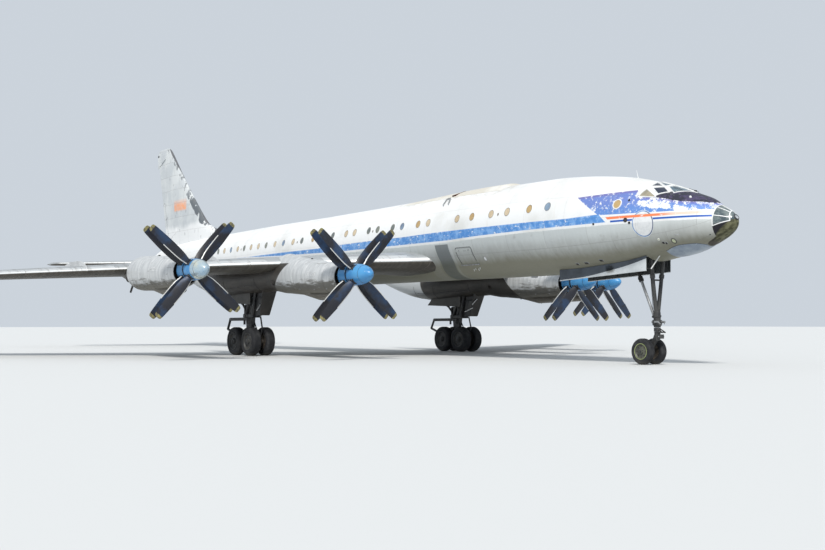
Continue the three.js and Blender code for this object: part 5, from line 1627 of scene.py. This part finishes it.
def cowling(engine, tag, side):
    """The cowling with its annular intake, louvres, oil cooler scoop and exhaust pipes."""
    x, lip, z = side * engine["x"], engine["disc"] + DISC_SPACING + LIP_BEHIND, engine["z"]
    rows = COWL[engine["name"]]
    tall, wide, drop = (Curve([(row[0], row[k]) for row in rows]) for k in (1, 2, 3))
    turns = full_turn(56)
    rear = rows[-1][0]

    def spot(behind, turn, out=0.0):
        return Vector((x + (wide(behind) + out) * cos(turn), lip + behind,
                       z - drop(behind) + (tall(behind) + out) * sin(turn)))

    def circle(behind, radius):
        return [Vector((x + radius * cos(turn), lip + behind, z - 0.05 + radius * sin(turn)))
                for turn in turns]

    shape = Shape()
    throat = [circle(*row) for row in THROAT]
    stations = [0.02, 0.05, 0.12, 0.25, 0.5] + spread(0.9, rear, 30)
    outer = [[spot(s, turn) for turn in turns] for s in stations]
    # The throat and the disc that closes it are near-black as painted shade, and the lip's inner curve is
    # painted dark as shade
    shape.loft(throat[:4], ends=False, mark=1)
    shape.loft(throat[3:] + outer[:1], ends=False, mark=2)
    shape.loft(outer, ends=False)
    shape.loft([circle(0.6, radius) for radius in (0.56, 0.12)], ends=False, mark=1)
    if engine["name"] == "outer":
        tip = spot(rear, 0) - Vector((wide(rear), -0.06, 0))
        shape.loft([outer[-1], [tip] * len(turns)], ends=False)
    for angle in full_turn(12):
        path = [Vector((x + r * cos(angle), lip + 0.3, z - 0.05 + r * sin(angle))) for r in (0.12, 0.55)]
        shape.tube(path, 0.02, 6, mark=1)
    shape.piece(f"cowling_{engine['name']}_{tag}", [COWL_METAL, SOOT_AND_SHADE, DARK_RING], "engine_cowl",
                replaces=(f"nacelle_{engine['name']}_{tag}",))

    trim = Shape()
    for behind in (0.9, 2.4, 3.5):
        ring = [spot(behind, turn, 0.001) for turn in turns]
        trim.tube(ring + ring[:1], 0.008, 6)
    for turn in (-0.75, pi + 0.75):
        trim.tube([spot(s, turn, 0.001) for s in spread(0.45, 3.65, 12)], 0.007, 5)
        for s in (0.75, 1.8, 3.1):
            latch = spot(s, turn, 0.004)
            trim.box(latch - Vector((0.015, 0.04, 0.015)), latch + Vector((0.015, 0.04, 0.015)), 0.005,
                     mark=2)
    for centre in (0.22, pi - 0.22):
        for s in spread(1.55, 2.15, 6):
            lifted = [spot(s - 0.03, centre + a, 0.001) for a in (-0.13, 0.13)]
            out = [spot(s, centre + a, 0.016) for a in (-0.12, 0.12)]
            trim.hull([*lifted, *out, spot(s + 0.004, centre - 0.13), spot(s + 0.004, centre + 0.13)])
            slot = [spot(s + 0.012, centre + a * 0.12, 0.001) for a in spread(-1, 1, 4)]
            trim.tube(slot, 0.008, 5, mark=1)
    for turn in (-0.42, pi + 0.42):
        inward = Vector((cos(turn) * 0.14, 0, 0))
        outward = Vector((cos(turn) * 0.6, 0.9, -0.35)).normalized()
        profile = [(-0.35, 0.12), (0.06, 0.15), (0.16, 0.155), (0.16, 0.14), (-0.05, 0.13), (-0.2, 0)]
        trim.lathe(profile, spot(5.40, turn) - inward, outward, 24, mark=3)
    for s, height in ((0.75, 0.08), (2.95, 0.06)):
        foot = spot(s, pi / 2, -0.01)
        rings = []
        for share, grow in ((0, 1), (0.5, 1), (1, 0.1)):
            rings.append([foot + Vector((0.08 * cos(turn), share * 0.40,
                                         max(-0.01, height * grow * sin(turn))))
                          for turn in full_turn(16)])
        trim.loft(rings, ends=False)
    if engine["name"] == "inner":
        drain, size = spot(1.9, -pi / 2), 0.022
        ends = (drain + Vector((0, 0.02, -0.18)), drain + Vector((0, 0.08, -0.24)))
    else:
        drain, size = spot(6.0, -pi / 2), 0.050
        ends = (drain + Vector((0, 0.22, -0.18)), drain + Vector((0, 0.45, -0.46)))
    trim.tube([drain + Vector((0, 0, 0.05)), *ends], size, 12, mark=3)
    trim.piece(f"cowling_trim_{engine['name']}_{tag}", [COWL_METAL, DARK_RING, LIGHT_STEEL, SOOT_AND_SHADE],
               "engine_cowl")

    def oval_ring(behind, half_width, half_height, down):
        return [Vector((x + half_width * cos(turn), lip + behind, z - down + half_height * sin(turn)))
                for turn in full_turn(28)]

    scoop = Shape()
    first = OIL_COOLER[0]
    scoop.loft([oval_ring(*row) for row in OIL_COOLER], ends=False)
    steps = ((0, 0), (0.01, 0.025), (0.45, 0.05))
    mouth = [(first[0] + a, first[1] - b, first[2] - 0.6 * b, first[3]) for a, b in steps]
    # The scoop's mouth and the disc inside it are near-black as painted shade
    scoop.loft([oval_ring(*row) for row in mouth], ends=False, mark=1)
    scoop.loft([oval_ring(0.95, size, size * 0.5, first[3]) for size in (0.25, 0.002)], ends=False, mark=1)
    scoop.box((x - 0.01, lip + 0.6, z - 1.0), (x + 0.01, lip + 0.9, z - 0.73), 0.004)
    scoop.piece(f"oil_cooler_{engine['name']}_{tag}", [COWL_METAL, SOOT_AND_SHADE], "engine_cowl")


# Blade rows: distance out, chord, thickness
BLADE = [
    (0.30, 0.24, 0.19), (0.55, 0.32, 0.15), (0.90, 0.45, 0.095), (1.20, 0.475, 0.075),
    (1.50, 0.48, 0.062), (1.80, 0.47, 0.052), (2.10, 0.435, 0.044), (2.40, 0.40, 0.036),
    (2.60, 0.37, 0.030), (2.72, 0.33, 0.024), (2.78, 0.26, 0.014), (BLADE_TIP, 0.16, 0.004),
]
BLADE_CHORD = Curve([(row[0], row[1]) for row in BLADE])
BLADE_THICK = Curve([(row[0], row[2]) for row in BLADE])
BLADE_STATIONS = spread(0.30, 0.9, 5) + spread(1.1, 2.5, 8) + [2.6, 2.68, 2.74, 2.77, 2.788, 2.797, 2.8]
SECTION = [(0.5, 0.0), (0.47, 0.19), (0.38, 0.36), (0.2, 0.49), (0.0, 0.48), (-0.25, 0.33), (-0.42, 0.13),
           (-0.5, 0.0), (-0.42, -0.13), (-0.25, -0.33), (0.0, -0.48), (0.2, -0.49), (0.38, -0.36),
           (0.47, -0.19)]
# The front half's spinner: behind its propeller disc, radius
SPINNER_ROWS = [(-1.08, 0.0), (-1.06, 0.075), (-1.0, 0.145), (-0.85, 0.26), (-0.6, 0.375), (-0.3, 0.45),
                (0.0, 0.48), (0.30, SPINNER)]


def propeller(engine, tag, side, place):
    """Half of the spinner with four twisted blades, in the place and angle of the CAD piece."""
    is_front = place == "front"
    lead = 1 if is_front else -1
    centre = Vector((side * engine["x"], engine["disc"] + (0 if is_front else DISC_SPACING), engine["z"]))
    name = f"propeller_{engine['name']}_{place}_{tag}"
    angle = radians(engine["rest"][tag]) * side

    blades = Shape()
    data = blades.mesh.verts.layers.float
    reach_layer, edge_layer = data.new("reach"), data.new("edge")
    for number in range(4):
        turn = Matrix.Rotation(angle + number * pi / 2, 4, "Y")
        start = len(blades.mesh.verts)
        rings, values = [], []
        for r in BLADE_STATIONS:
            chord, thick = BLADE_CHORD(r), BLADE_THICK(r)
            pitch = radians(BLADE_PITCH["tip"] + BLADE_PITCH["twist"] * (1 - r / BLADE_TIP))
            ring = []
            for u, v in SECTION:
                a, b = lead * u * chord, v * thick
                across, along = a * cos(pitch) - b * sin(pitch), a * sin(pitch) + b * cos(pitch)
                ring.append(centre + (turn @ Vector((r, -lead * along, across))))
                values.append((r, u + 0.5))
            rings.append(ring)
        blades.loft(rings)
        blades.mesh.verts.ensure_lookup_table()
        for vertex, (r, u) in zip(list(blades.mesh.verts)[start:], values):
            vertex[reach_layer], vertex[edge_layer] = r, u
    blades.piece(name + "_blades", BLADE_PAINT, "propeller", name, replaces=(name,), sharp=50)

    spinner = Shape()
    cone = Curve(SPINNER_ROWS if is_front else [(-0.30, SPINNER), (0.30, SPINNER + 0.02)])
    nose = [-1.08, -1.07, -1.055, -1.02, -0.97] + spread(-0.9, -0.3, 8)
    barrel = spread(-0.295, 0.295, 8)
    if is_front:
        bare = side < 0 and engine["name"] == "outer"
        tip = [(s, cone(s)) for s in nose + barrel[:1]]
        spinner.lathe(tip, centre, (0, 1, 0), 56, mark=3 if bare else 0)
    spinner.lathe([(s, cone(s)) for s in barrel], centre, (0, 1, 0), 56)
    for s in (barrel[-1],) if is_front else (barrel[0], barrel[-1]):
        spinner.lathe([(s, cone(s)), (s, 0.11)], centre, (0, 1, 0), 56, mark=1)
    for s in (-0.52, 0.27) if is_front else (-0.27, 0.27):
        band = [(-0.010, -0.004), (-0.010, 0.002), (0.010, 0.002), (0.010, -0.004)]
        spinner.lathe([(s + a, cone(s) + b) for a, b in band], centre, (0, 1, 0), 56, mark=1)
    for number in range(4):
        out = Matrix.Rotation(angle + number * pi / 2, 3, "Y") @ Vector((1, 0, 0))
        spinner.lathe([(0.40, 0.165), (0.492, 0.165), (0.505, 0.15), (0.505, 0.12), (0.46, 0.115)],
                      centre, out, 24, mark=1)
        for behind in (-0.16, 0.16):
            spot = centre + out * cone(behind) + Vector((0, behind, 0))
            across = out.cross(Vector((0, 1, 0)))
            slot = [spot + across * a - out * (0.5 * a * a / SPINNER - 0.002)
                    for a in spread(-0.17, 0.17, 8)]
            spinner.tube(slot, 0.030, 8, mark=1)
    spinner.lathe([(barrel[-1] - 0.02, 0.13), (barrel[-1] + 0.03, 0.13)], centre, (0, 1, 0), 24, mark=2)
    spinner.piece(name + "_spinner", [SPINNER_BLUE, DARK_RING, CHROME, SPINNER_BARE], "propeller", name)


for engine in ENGINES:
    for tag, side in SIDES:
        cowling(engine, tag, side)
        for place in ("front", "rear"):
            propeller(engine, tag, side, place)

# Landing gear fairings: station, half height, half width, height
POD = [(22.3, 0.74, 0.80, 4.025), (25.4, 0.74, 0.82, 3.92), (27.4, 0.79, 0.84, 3.87),
       (29.2, 0.72, 0.76, 3.95), (31.0, 0.52, 0.55, 4.13), (32.4, 0.29, 0.30, 4.30),
       (33.2, 0.07, 0.08, 4.34)]
# Bogie's middle, main wheels with their places from it, and heights and lean of the leg
BOGIE = {"x": 6.9, "s": 25.45, "z": 0.7408}
MAIN_WHEEL = {"radius": 0.75, "width": 0.5, "track": 0.40, "base": 0.80}
LEG = {"top": 3.4, "knee": 1.75, "foot": 1.06, "lean": 0.45}


def gear_pod(tag, side):
    """A landing gear fairing with its closed doors' seams, and the panels below it."""
    shape = Shape()
    tall, wide, height = (Curve([(row[0], row[k]) for row in POD]) for k in (1, 2, 3))
    x = side * 6.95

    def spot(s, turn, out=0.0):
        return Vector((x + (wide(s) + out) * cos(turn), s, height(s) + (tall(s) + out) * sin(turn)))

    turns = full_turn(56)
    stations = spread(22.3, 33.2, 44)
    shape.loft([[spot(s, t) for t in turns] for s in stations], ends=False)
    shape.loft([[spot(33.2, t) for t in turns], [Vector((x, 33.32, 4.34))] * len(turns)], ends=False)
    shape.piece("gear_pod_skin_" + tag, POD_METAL, "bare_metal", replaces=("gear_pod_" + tag,))
    trim = Shape()
    for s in (23.6, 26.9, 28.9):
        trim.tube([spot(s, turn, 0.001) for turn in spread(-pi, 0, 28)], 0.010, 6)
    for turn in (-pi / 2, -0.55, pi + 0.55):
        trim.tube([spot(s, turn, 0.001) for s in spread(23.6, 28.9, 24)], 0.010, 6)
    for s in spread(24.1, 28.5, 6):
        for turn in (-0.55, pi + 0.55):
            hinge = spot(s, turn, 0.008)
            trim.tube([hinge - Vector((0, 0.08, 0)), hinge + Vector((0, 0.08, 0))], 0.016, 8, mark=1)
    ring = [(-0.02, 0.26), (0.03, 0.24), (0.05, 0.20), (0.05, 0.12)]
    for s in (BOGIE["s"] - 0.28, BOGIE["s"] + 1.62):
        trim.lathe(ring, (side * BOGIE["x"], s, spot(s, -pi / 2).z), (0, 0, -1), 24, mark=1)
    sheet = [(24.90, 3.22), (27.66, 3.16), (28.10, 2.76), (24.90, 2.64)]
    for dx in (-0.30, 0.28):
        trim.plate([(x + dx, s, z) for s, z in sheet], (0.02, 0, 0), mark=2)
    trim.piece("gear_pod_trim_" + tag, [DARK_RING, GEAR_STEEL, HANGING_PANEL], "bare_metal")


def tyre(shape, centre, radius, width):
    """A tyre with round shoulders and grooves, resting on the ground."""
    half = width / 2
    wall = [(0.30, 0.55), (0.86, 0.60), (1.0, 0.74), (0.98, 0.84), (0.86, 0.925), (0.66, 0.972)]
    tread = [(groove + edge, depth) for groove in (-0.45, -0.15, 0.15, 0.45)
             for edge, depth in ((-0.05, 0.988), (-0.035, 0.968), (0.035, 0.968), (0.05, 0.988))]
    profile = [(-a, r) for a, r in wall] + tread + wall[::-1]
    shape.lathe([(a * half, r * radius) for a, r in profile], centre, (1, 0, 0), 72)


HUB_HOLES = 8


def hub(shape, centre, out, radius, width, marks):
    """A wheel's hub: dished face, rim flange, hand holes, bolts and cap. out is +1 or -1."""
    half = width / 2
    face, dark, bolt = marks
    profile = [(0.30, 0.56), (0.86, 0.605), (0.92, 0.60), (0.90, 0.56), (0.66, 0.50), (0.62, 0.34),
               (0.70, 0.22), (0.95, 0.19), (1.02, 0.15), (1.04, 0.0)]
    shape.lathe([(a * half, r * radius) for a, r in profile], centre, (out, 0, 0), 48, face)
    middle = Vector(centre)
    for a in full_turn(HUB_HOLES):
        spot = middle + Vector((out * 0.635 * half, 0.42 * radius * cos(a), 0.42 * radius * sin(a)))
        shape.lathe([(0, 0.062 * radius), (0.012, 0.058 * radius), (0.012, 0)], spot, (out, 0, 0), 14, dark)
        b = a + pi / HUB_HOLES
        spot = middle + Vector((out * 0.90 * half, 0.205 * radius * cos(b), 0.205 * radius * sin(b)))
        head = [(-0.02, 0.022 * radius), (0.02, 0.022 * radius), (0.02, 0)]
        shape.lathe(head, spot, (out, 0, 0), 6, bolt)


# The loaded tyre's radius, as a share of the wheel's in CAD
TYRE_SINK = 0.985


def wheels(name, body, place, size, axle, hub_finish, rim_finish):
    """Two wheels on their axle, which stand on the ground. place is (across, station)."""
    shape = Shape()
    radius = size["radius"] * TYRE_SINK
    centre = Vector((*place, radius))
    for side in (1, -1):
        middle = centre + Vector((side * size["track"], 0, 0))
        tyre(shape, middle, radius, size["width"])
        hub(shape, middle, side, radius, size["width"], (1, 2, 3))
        flange = [(0.80, 0.565), (0.90, 0.615), (0.95, 0.61), (0.93, 0.575)]
        shape.lathe([(a * size["width"] / 2, r * radius) for a, r in flange], middle, (side, 0, 0), 48, 4)
        hub(shape, middle, -side, radius, size["width"], (2, 2, 3))
    half = size["track"] + size["width"] / 2 + 0.035
    shape.tube([centre - Vector((half, 0, 0)), centre + Vector((half, 0, 0))], axle, 24, mark=3)
    finishes = [RUBBER, hub_finish, BRAKE, GEAR_STEEL, rim_finish]
    shape.piece(name, finishes, "tyres", body, replaces=(body,))


def collar(shape, centre, radius, height, axis=(0, 0, 1)):
    """A ring with cut edges around a rod."""
    half, edge = height / 2, min(0.012, height / 4)
    upper = [(half - edge, radius), (half, radius - edge), (half, radius * 0.6)]
    shape.lathe([(-a, r) for a, r in reversed(upper)] + upper, centre, axis, 28)


# Light rods between each leg and its panel, on the left and on the right
LEG_LIGHT_RODS = {
    1: [((6.09, 23.76, 2.34), (6.66, 23.76, 2.56)), ((6.50, 23.62, 2.75), (6.78, 23.50, 3.07))],
    -1: [((-7.03, 24.2, 2.62), (-7.23, 24.2, 2.31))],
}


def main_gear(tag, side):
    """A leg with its braces and pipes, bogie beam, wheels and front panel."""
    x, s = side * BOGIE["x"], BOGIE["s"]
    leg = Shape()
    top, knee = Vector((x, s - LEG["lean"], LEG["top"])), Vector((x, s, LEG["knee"]))
    line = (knee - top).normalized()
    leg.tube([top - line * 0.5, top, knee], 0.17, 32)
    for share in (0.22, 0.5, 0.93):
        collar(leg, top.lerp(knee, share), 0.20, 0.10, line)
    leg.lathe([(-0.10, 0.17), (0.02, 0.19), (0.10, 0.18), (0.12, 0.12)], knee, (0, 0, -1), 32)
    leg.tube([(x, s, 1.68), (x, s, LEG["foot"])], 0.105, 32, mark=1)
    collar(leg, (x, s, LEG["foot"] + 0.08), 0.15, 0.14)
    brace_top, brace_low = Vector((x, s + 1.7, LEG["top"])), Vector((x, s + 0.1, 1.95))
    leg.tube([brace_top, brace_low], 0.06, 20)
    collar(leg, brace_top.lerp(brace_low, 0.42), 0.085, 0.30, brace_low - brace_top)
    leg.tube([brace_low + Vector((-0.13, 0, 0)), brace_low + Vector((0.13, 0, 0))], 0.05, 16)
    for offset in (-0.11, 0.11):
        leg.tube([(x + offset, s - 0.18, 1.78), (x + offset * 0.8, s - 0.42, 1.42)], 0.03, 12)
        leg.tube([(x + offset * 0.8, s - 0.42, 1.42), (x + offset * 0.6, s - 0.13, 1.13)], 0.03, 12)
    leg.tube([(x - 0.14, s - 0.42, 1.42), (x + 0.14, s - 0.42, 1.42)], 0.028, 12)
    leg.box((x - 0.13, s - 0.24, 1.70), (x + 0.13, s - 0.10, 1.86), 0.02)
    leg.box((x - 0.10, s - 0.18, 1.08), (x + 0.10, s - 0.08, 1.20), 0.015)
    for offset, radius in ((0.20, 0.014), (0.235, 0.010)):
        path = [top + Vector((offset * side, -0.02, 0.1)),
                top.lerp(knee, 0.6) + Vector((offset * side, 0.03, 0)),
                knee + Vector((offset * side * 0.9, 0.05, 0.05)),
                (x + side * 0.19, s + 0.10, 1.45), (x + side * 0.14, s + 0.08, 1.14)]
        leg.tube(path, radius, 8, mark=2)
    leg.box((x - 0.16, s + 0.1, 1.80), (x + 0.16, s + 0.30, 2.00), 0.02)
    leg.tube([(x, s + 0.2, 1.89), (x, 27.76, 1.88)], 0.085, 16)
    leg.tube([(x, 27.76, 1.88), (x, 28.05, 1.36)], 0.065, 14)
    leg.tube([(x, 28.05, 1.36), (x, 26.40, 0.84)], 0.065, 14)
    leg.tube([(x, 26.15, 1.88), (x, 26.15, 1.60)], 0.06, 14)
    for web in (
        [(s - 1.75, 3.24), (s - 0.30, 3.20), (s - 0.22, 2.60), (s - 0.60, 1.98), (s - 1.35, 2.14)],
        [(s - 0.60, 2.66), (s + 0.44, 2.66), (s + 0.42, 1.96), (s - 0.60, 1.96)],
        [(s - 0.30, 2.00), (s + 0.36, 2.00), (s + 0.26, 1.34), (s - 0.22, 1.34)],
    ):
        leg.plate([(x - 0.11, a, b) for a, b in web], (0.22, 0, 0))
    for away in (-0.13, 0.13):
        leg.tube([(x + away, s + 0.42, 2.62), (x + away, s + 0.40, 2.00)], 0.05, 12)
    leg.tube([(x, s - 0.1, 2.02), (x, 24.39, 1.99), (x, 24.22, 1.44), (x, 24.46, 0.86)], 0.042, 14)
    for away in (-0.17, 0.17):
        leg.tube([(x + away, s - 0.80, 3.25), (x + away, s - 0.52, 2.05)], 0.085, 16)
        leg.tube([(x + away, s - 0.42, 3.30), (x + away, s + 0.26, 1.98)], 0.085, 16)
    leg.box((x - 0.22, s - 0.62, 1.96), (x + 0.22, s + 0.48, 2.16), 0.03)
    leg.box((x - 0.20, s - 0.70, 2.62), (x + 0.20, s + 0.08, 2.78), 0.03)
    leg.box((x - 0.26, s - 0.56, 3.20), (x + 0.26, s - 0.30, 3.38), 0.03)
    for spot in ((x - 0.1, s - 0.36, 2.5), (x + 0.12, s - 0.42, 3.0)):
        leg.tube([spot, Vector(spot) + Vector((0, 0.04, 0.18))], 0.030, 10, mark=3)
    leg.piece("main_leg_strut_" + tag, [GEAR_STEEL, CHROME, RUBBER, LIGHT_STEEL], "gear_steel",
              replaces=("main_leg_" + tag,))

    beam = Shape()
    z, base = BOGIE["z"], MAIN_WHEEL["base"]
    profile = Curve([(-base - 0.2, 0.09), (-base, 0.155), (-0.35, 0.13), (0, 0.2), (0.35, 0.13),
                     (base, 0.155), (base + 0.2, 0.09)])
    rings = []
    for a in spread(-base - 0.19, base + 0.19, 28):
        tall, wide = profile(a), 0.115 * min(1, (base + 0.21 - abs(a)) / 0.06)
        rings.append([(x + wide * cos(t) * (abs(cos(t)) ** -0.35 if abs(cos(t)) > 0.1 else 1), s + a,
                       z + tall * sin(t)) for t in full_turn(24)])
    beam.loft(rings)
    beam.tube([(x, s, z), (x, s, LEG["foot"] - 0.01)], 0.11, 28)
    beam.tube([(x - 0.13, s, z), (x + 0.13, s, z)], 0.09, 24, mark=1)
    for sign in (-1, 1):
        collar(beam, (x, s + sign * base, z), 0.135, 0.25, (1, 0, 0))
        for inner in (-1, 1):
            drum = (x + inner * 0.128, s + sign * base, z)
            beam.lathe([(0, 0.10), (0, 0.235), (-0.006, 0.24), (-0.03, 0.24), (-0.03, 0.10)], drum,
                       (inner, 0, 0), 28, mark=1)
    rod_top, rod_low = Vector((x, s + 0.13, 1.62)), Vector((x, s + base + 0.05, z + 0.19))
    beam.tube([rod_top, rod_low], 0.035, 14)
    collar(beam, rod_top.lerp(rod_low, 0.4), 0.05, 0.28, rod_low - rod_top)
    beam.piece("bogie_beam_forging_" + tag, [GEAR_STEEL, BRAKE], "gear_steel",
               replaces=("bogie_beam_" + tag,))

    for place, sign in (("front", -1), ("rear", 1)):
        name = f"main_wheels_{place}_{tag}"
        wheels(name + "_tyres", name, (x, s + sign * base), MAIN_WHEEL, 0.07, HUB_DARK, HUB_DARK)

    door = Shape()

    def on_panel(share, z, out=0.0):
        """A spot on the leg panel: share of its half width, height, and distance behind its face."""
        down = (3.6 - z) / 1.54
        return Vector((x + share * (0.43 - 0.15 * down), 23.325 + 0.63 * down + out, z))

    outline = [(-1, 3.50), (1, 3.50), (1, 2.12), (0.92, 2.07), (-0.92, 2.07), (-1, 2.12)]
    door.plate([on_panel(*spot) for spot in outline], (0, 0.03, 0.0))
    for z1 in (2.16, 2.5, 2.9, 3.25):
        door.tube([on_panel(share, z1, 0.04) for share in (-0.96, 0.96)], 0.020, 8, mark=1)
    for share in (-0.55, 0.55):
        door.tube([on_panel(share, z1, 0.04) for z1 in (2.10, 3.40)], 0.020, 8, mark=1)
    for z1, z2 in ((2.45, 2.35), (3.05, 2.95)):
        for share in (-0.4, 0.4):
            door.tube([on_panel(share, z1, 0.03), (x + share * 0.3, s - 0.42, z2)], 0.035, 10, mark=1)
    for start, end in LEG_LIGHT_RODS[side]:
        door.tube([start, end], 0.028, 10, mark=2)
    door.piece("main_leg_door_panel_" + tag, [LEG_PANEL, GEAR_STEEL, WHITE_PAINT], "bare_metal",
               replaces=("main_leg_door_" + tag,))


# Nose gear: steering axis with the heights of the leg's ends, and the wheels
STEERING = {"s": 3.97, "top": 2.12, "collar": 1.50}
NOSE_WHEEL = {"radius": 0.54, "width": 0.32, "track": 0.36, "s": 4.42, "z": 0.5333}


def nose_gear():
    """The leg with its drag brace, steering fork and wheels."""
    s, top, low = STEERING["s"], STEERING["top"], STEERING["collar"]
    leg = Shape()
    for side, out in ((1, 0.45), (-1, 0.44)):
        head = Vector((side * out, s - 0.02, WELL["top"] - 0.01))
        foot = Vector((side * 0.06, s, top - 0.02))
        leg.tube([head, foot], [0.075, 0.082], 24)
        collar(leg, head.lerp(foot, 0.45), 0.105, 0.16, foot - head)
        pin = Vector((side * 0.36, s - 0.02, WELL["top"] - 0.10))
        leg.tube([pin - Vector((0.12, 0, 0)), pin + Vector((0.12, 0, 0))], 0.10, 20)
    leg.tube([(-0.30, s, 3.4), (0.30, s, 3.4)], 0.035, 12)
    barrel = [(low, 0.10), (low, 0.135), (low + 0.02, 0.14), (top - 0.06, 0.14), (top + 0.06, 0.12),
              (top + 0.1, 0.05), (top + 0.1, 0)]
    leg.lathe(barrel, (0, s, 0), (0, 0, 1), 32)
    collar(leg, (0, s, 1.62), 0.175, 0.10)
    collar(leg, (0, s, 1.95), 0.165, 0.08)
    for side in (1, -1):
        leg.tube([(side * 0.20, s + 0.10, 1.72), (side * 0.20, s - 0.22, 1.72)], 0.045, 14, mark=1)
        leg.tube([(side * 0.20, s - 0.22, 1.72), (side * 0.12, s - 0.26, 1.64)], 0.018, 10, mark=2)
        leg.box((side * 0.20 - 0.05, s - 0.04, 1.60), (side * 0.20 + 0.05, s + 0.05, 1.80), 0.012)
    leg.tube([(0.17, s + 0.02, 1.6), (0.19, s + 0.03, 2.1), (0.42, s + 0.02, 3.9), (0.44, s + 0.02, 4.6)],
             0.012, 8, mark=3)
    leg.tube([(-0.17, s + 0.02, 1.6), (-0.19, s + 0.03, 2.1), (-0.46, s + 0.02, 4.6)], 0.010, 8, mark=3)
    leg.piece("nose_leg_strut", [GEAR_STEEL, LIGHT_STEEL, CHROME, RUBBER], "gear_steel",
              replaces=("nose_leg",))

    brace = Shape()
    a, b = Vector((0, s + 0.15, 1.93)), Vector((0, s + 1.42, WELL["top"] - 0.02))
    middle = a.lerp(b, 0.55)
    brace.tube([a, middle], 0.058, 20, mark=1)
    brace.tube([middle, b], 0.07, 20)
    collar(brace, middle, 0.10, 0.22, b - a)
    brace.tube([middle + Vector((-0.14, 0, 0)), middle + Vector((0.14, 0, 0))], 0.035, 12)
    brace.tube([a + Vector((-0.11, -0.01, 0)), a + Vector((0.11, -0.01, 0))], 0.05, 16)
    brace.tube([b + Vector((-0.3, 0, -0.05)), b + Vector((0.3, 0, -0.05))], 0.05, 16)
    brace.piece("nose_drag_brace_links", [GEAR_STEEL, LIGHT_STEEL], "gear_steel",
                replaces=("nose_drag_brace",))

    fork = Shape()
    wheel_s, wheel_z = NOSE_WHEEL["s"], NOSE_WHEEL["z"]
    fork.tube([(0, s, 1.0), (0, s, low + 0.3)], 0.085, 32, mark=1)
    collar(fork, (0, s, low - 0.084), 0.14, 0.138)
    rings = []
    for share in spread(0, 1, 12):
        centre = Vector((0, s, 1.16)).lerp(Vector((0, wheel_s, wheel_z)), share)
        half, wide = 0.15 - 0.03 * sin(pi * share), 0.125 - 0.03 * sin(pi * share)
        normal = Vector((0, 0.68, 0.73))
        rings.append([centre + Vector((wide * cos(t), 0, 0)) + normal * (half * sin(t))
                      for t in full_turn(20)])
    fork.loft(rings)
    fork.tube([(0, s, 0.98), (0, s, 1.34)], [0.10, 0.13], 24)
    collar(fork, (0, wheel_s, wheel_z), 0.135, 0.26, (1, 0, 0))
    for side in (1, -1):
        fork.tube([(side * 0.09, s - 0.05, 1.32), (side * 0.09, s - 0.34, 1.30)], 0.026, 10)
        fork.tube([(side * 0.09, s - 0.34, 1.30), (side * 0.075, s - 0.12, 1.42)], 0.024, 10)
    fork.box((-0.11, s - 0.26, 1.05), (0.11, s - 0.08, 1.22), 0.012)
    fork.tube([(-0.16, s - 0.2, 1.135), (0.16, s - 0.2, 1.135)], 0.022, 10, mark=1)
    fork.piece("nose_fork_forging", [GEAR_STEEL, CHROME], "gear_steel", "nose_steering",
               replaces=("nose_steering_fork",))
    wheels("nose_wheel_tyres", "nose_wheels", (0, wheel_s), NOSE_WHEEL, 0.06, HUB_PAINT, RIM_PAINT)


for tag, side in SIDES:
    gear_pod(tag, side)
    main_gear(tag, side)
nose_gear()


# Floor and light


def make_floor():
    """The plain pale floor."""
    size = 220.0
    mesh = bpy.data.meshes.new("floor")
    mesh.from_pydata([(-size, -size, 0), (size, -size, 0), (size, size, 0), (-size, size, 0)], [],
                     [(0, 1, 2, 3)])
    floor = bpy.data.objects.new("floor", mesh)
    bpy.context.scene.collection.objects.link(floor)
    pale = bpy.data.materials.new("floor")
    pale.use_nodes = True
    shader = pale.node_tree.nodes["Principled BSDF"]
    shader.inputs["Base Color"].default_value = (0.62, 0.63, 0.63, 1)
    shader.inputs["Roughness"].default_value = 0.9
    mesh.materials.append(pale)


SUN_FROM = Vector((-0.55, -0.60, 0.85))


def make_light():
    """A pale sky and a soft sun from behind the camera."""
    world = bpy.data.worlds.new("world")
    bpy.context.scene.world = world
    world.use_nodes = True
    sky = world.node_tree.nodes["Background"]
    sky.inputs["Color"].default_value = (0.80, 0.87, 0.95, 1)
    sky.inputs["Strength"].default_value = 0.75
    data = bpy.data.lights.new("sun", "SUN")
    data.energy = 3.2
    data.angle = radians(9)
    data.color = (1.0, 0.97, 0.92)
    sun = bpy.data.objects.new("sun", data)
    sun.rotation_mode = "QUATERNION"
    sun.rotation_quaternion = SUN_FROM.to_track_quat("Z", "Y")
    bpy.context.scene.collection.objects.link(sun)
    bpy.context.scene.view_settings.view_transform = "Standard"


make_floor()
make_light()
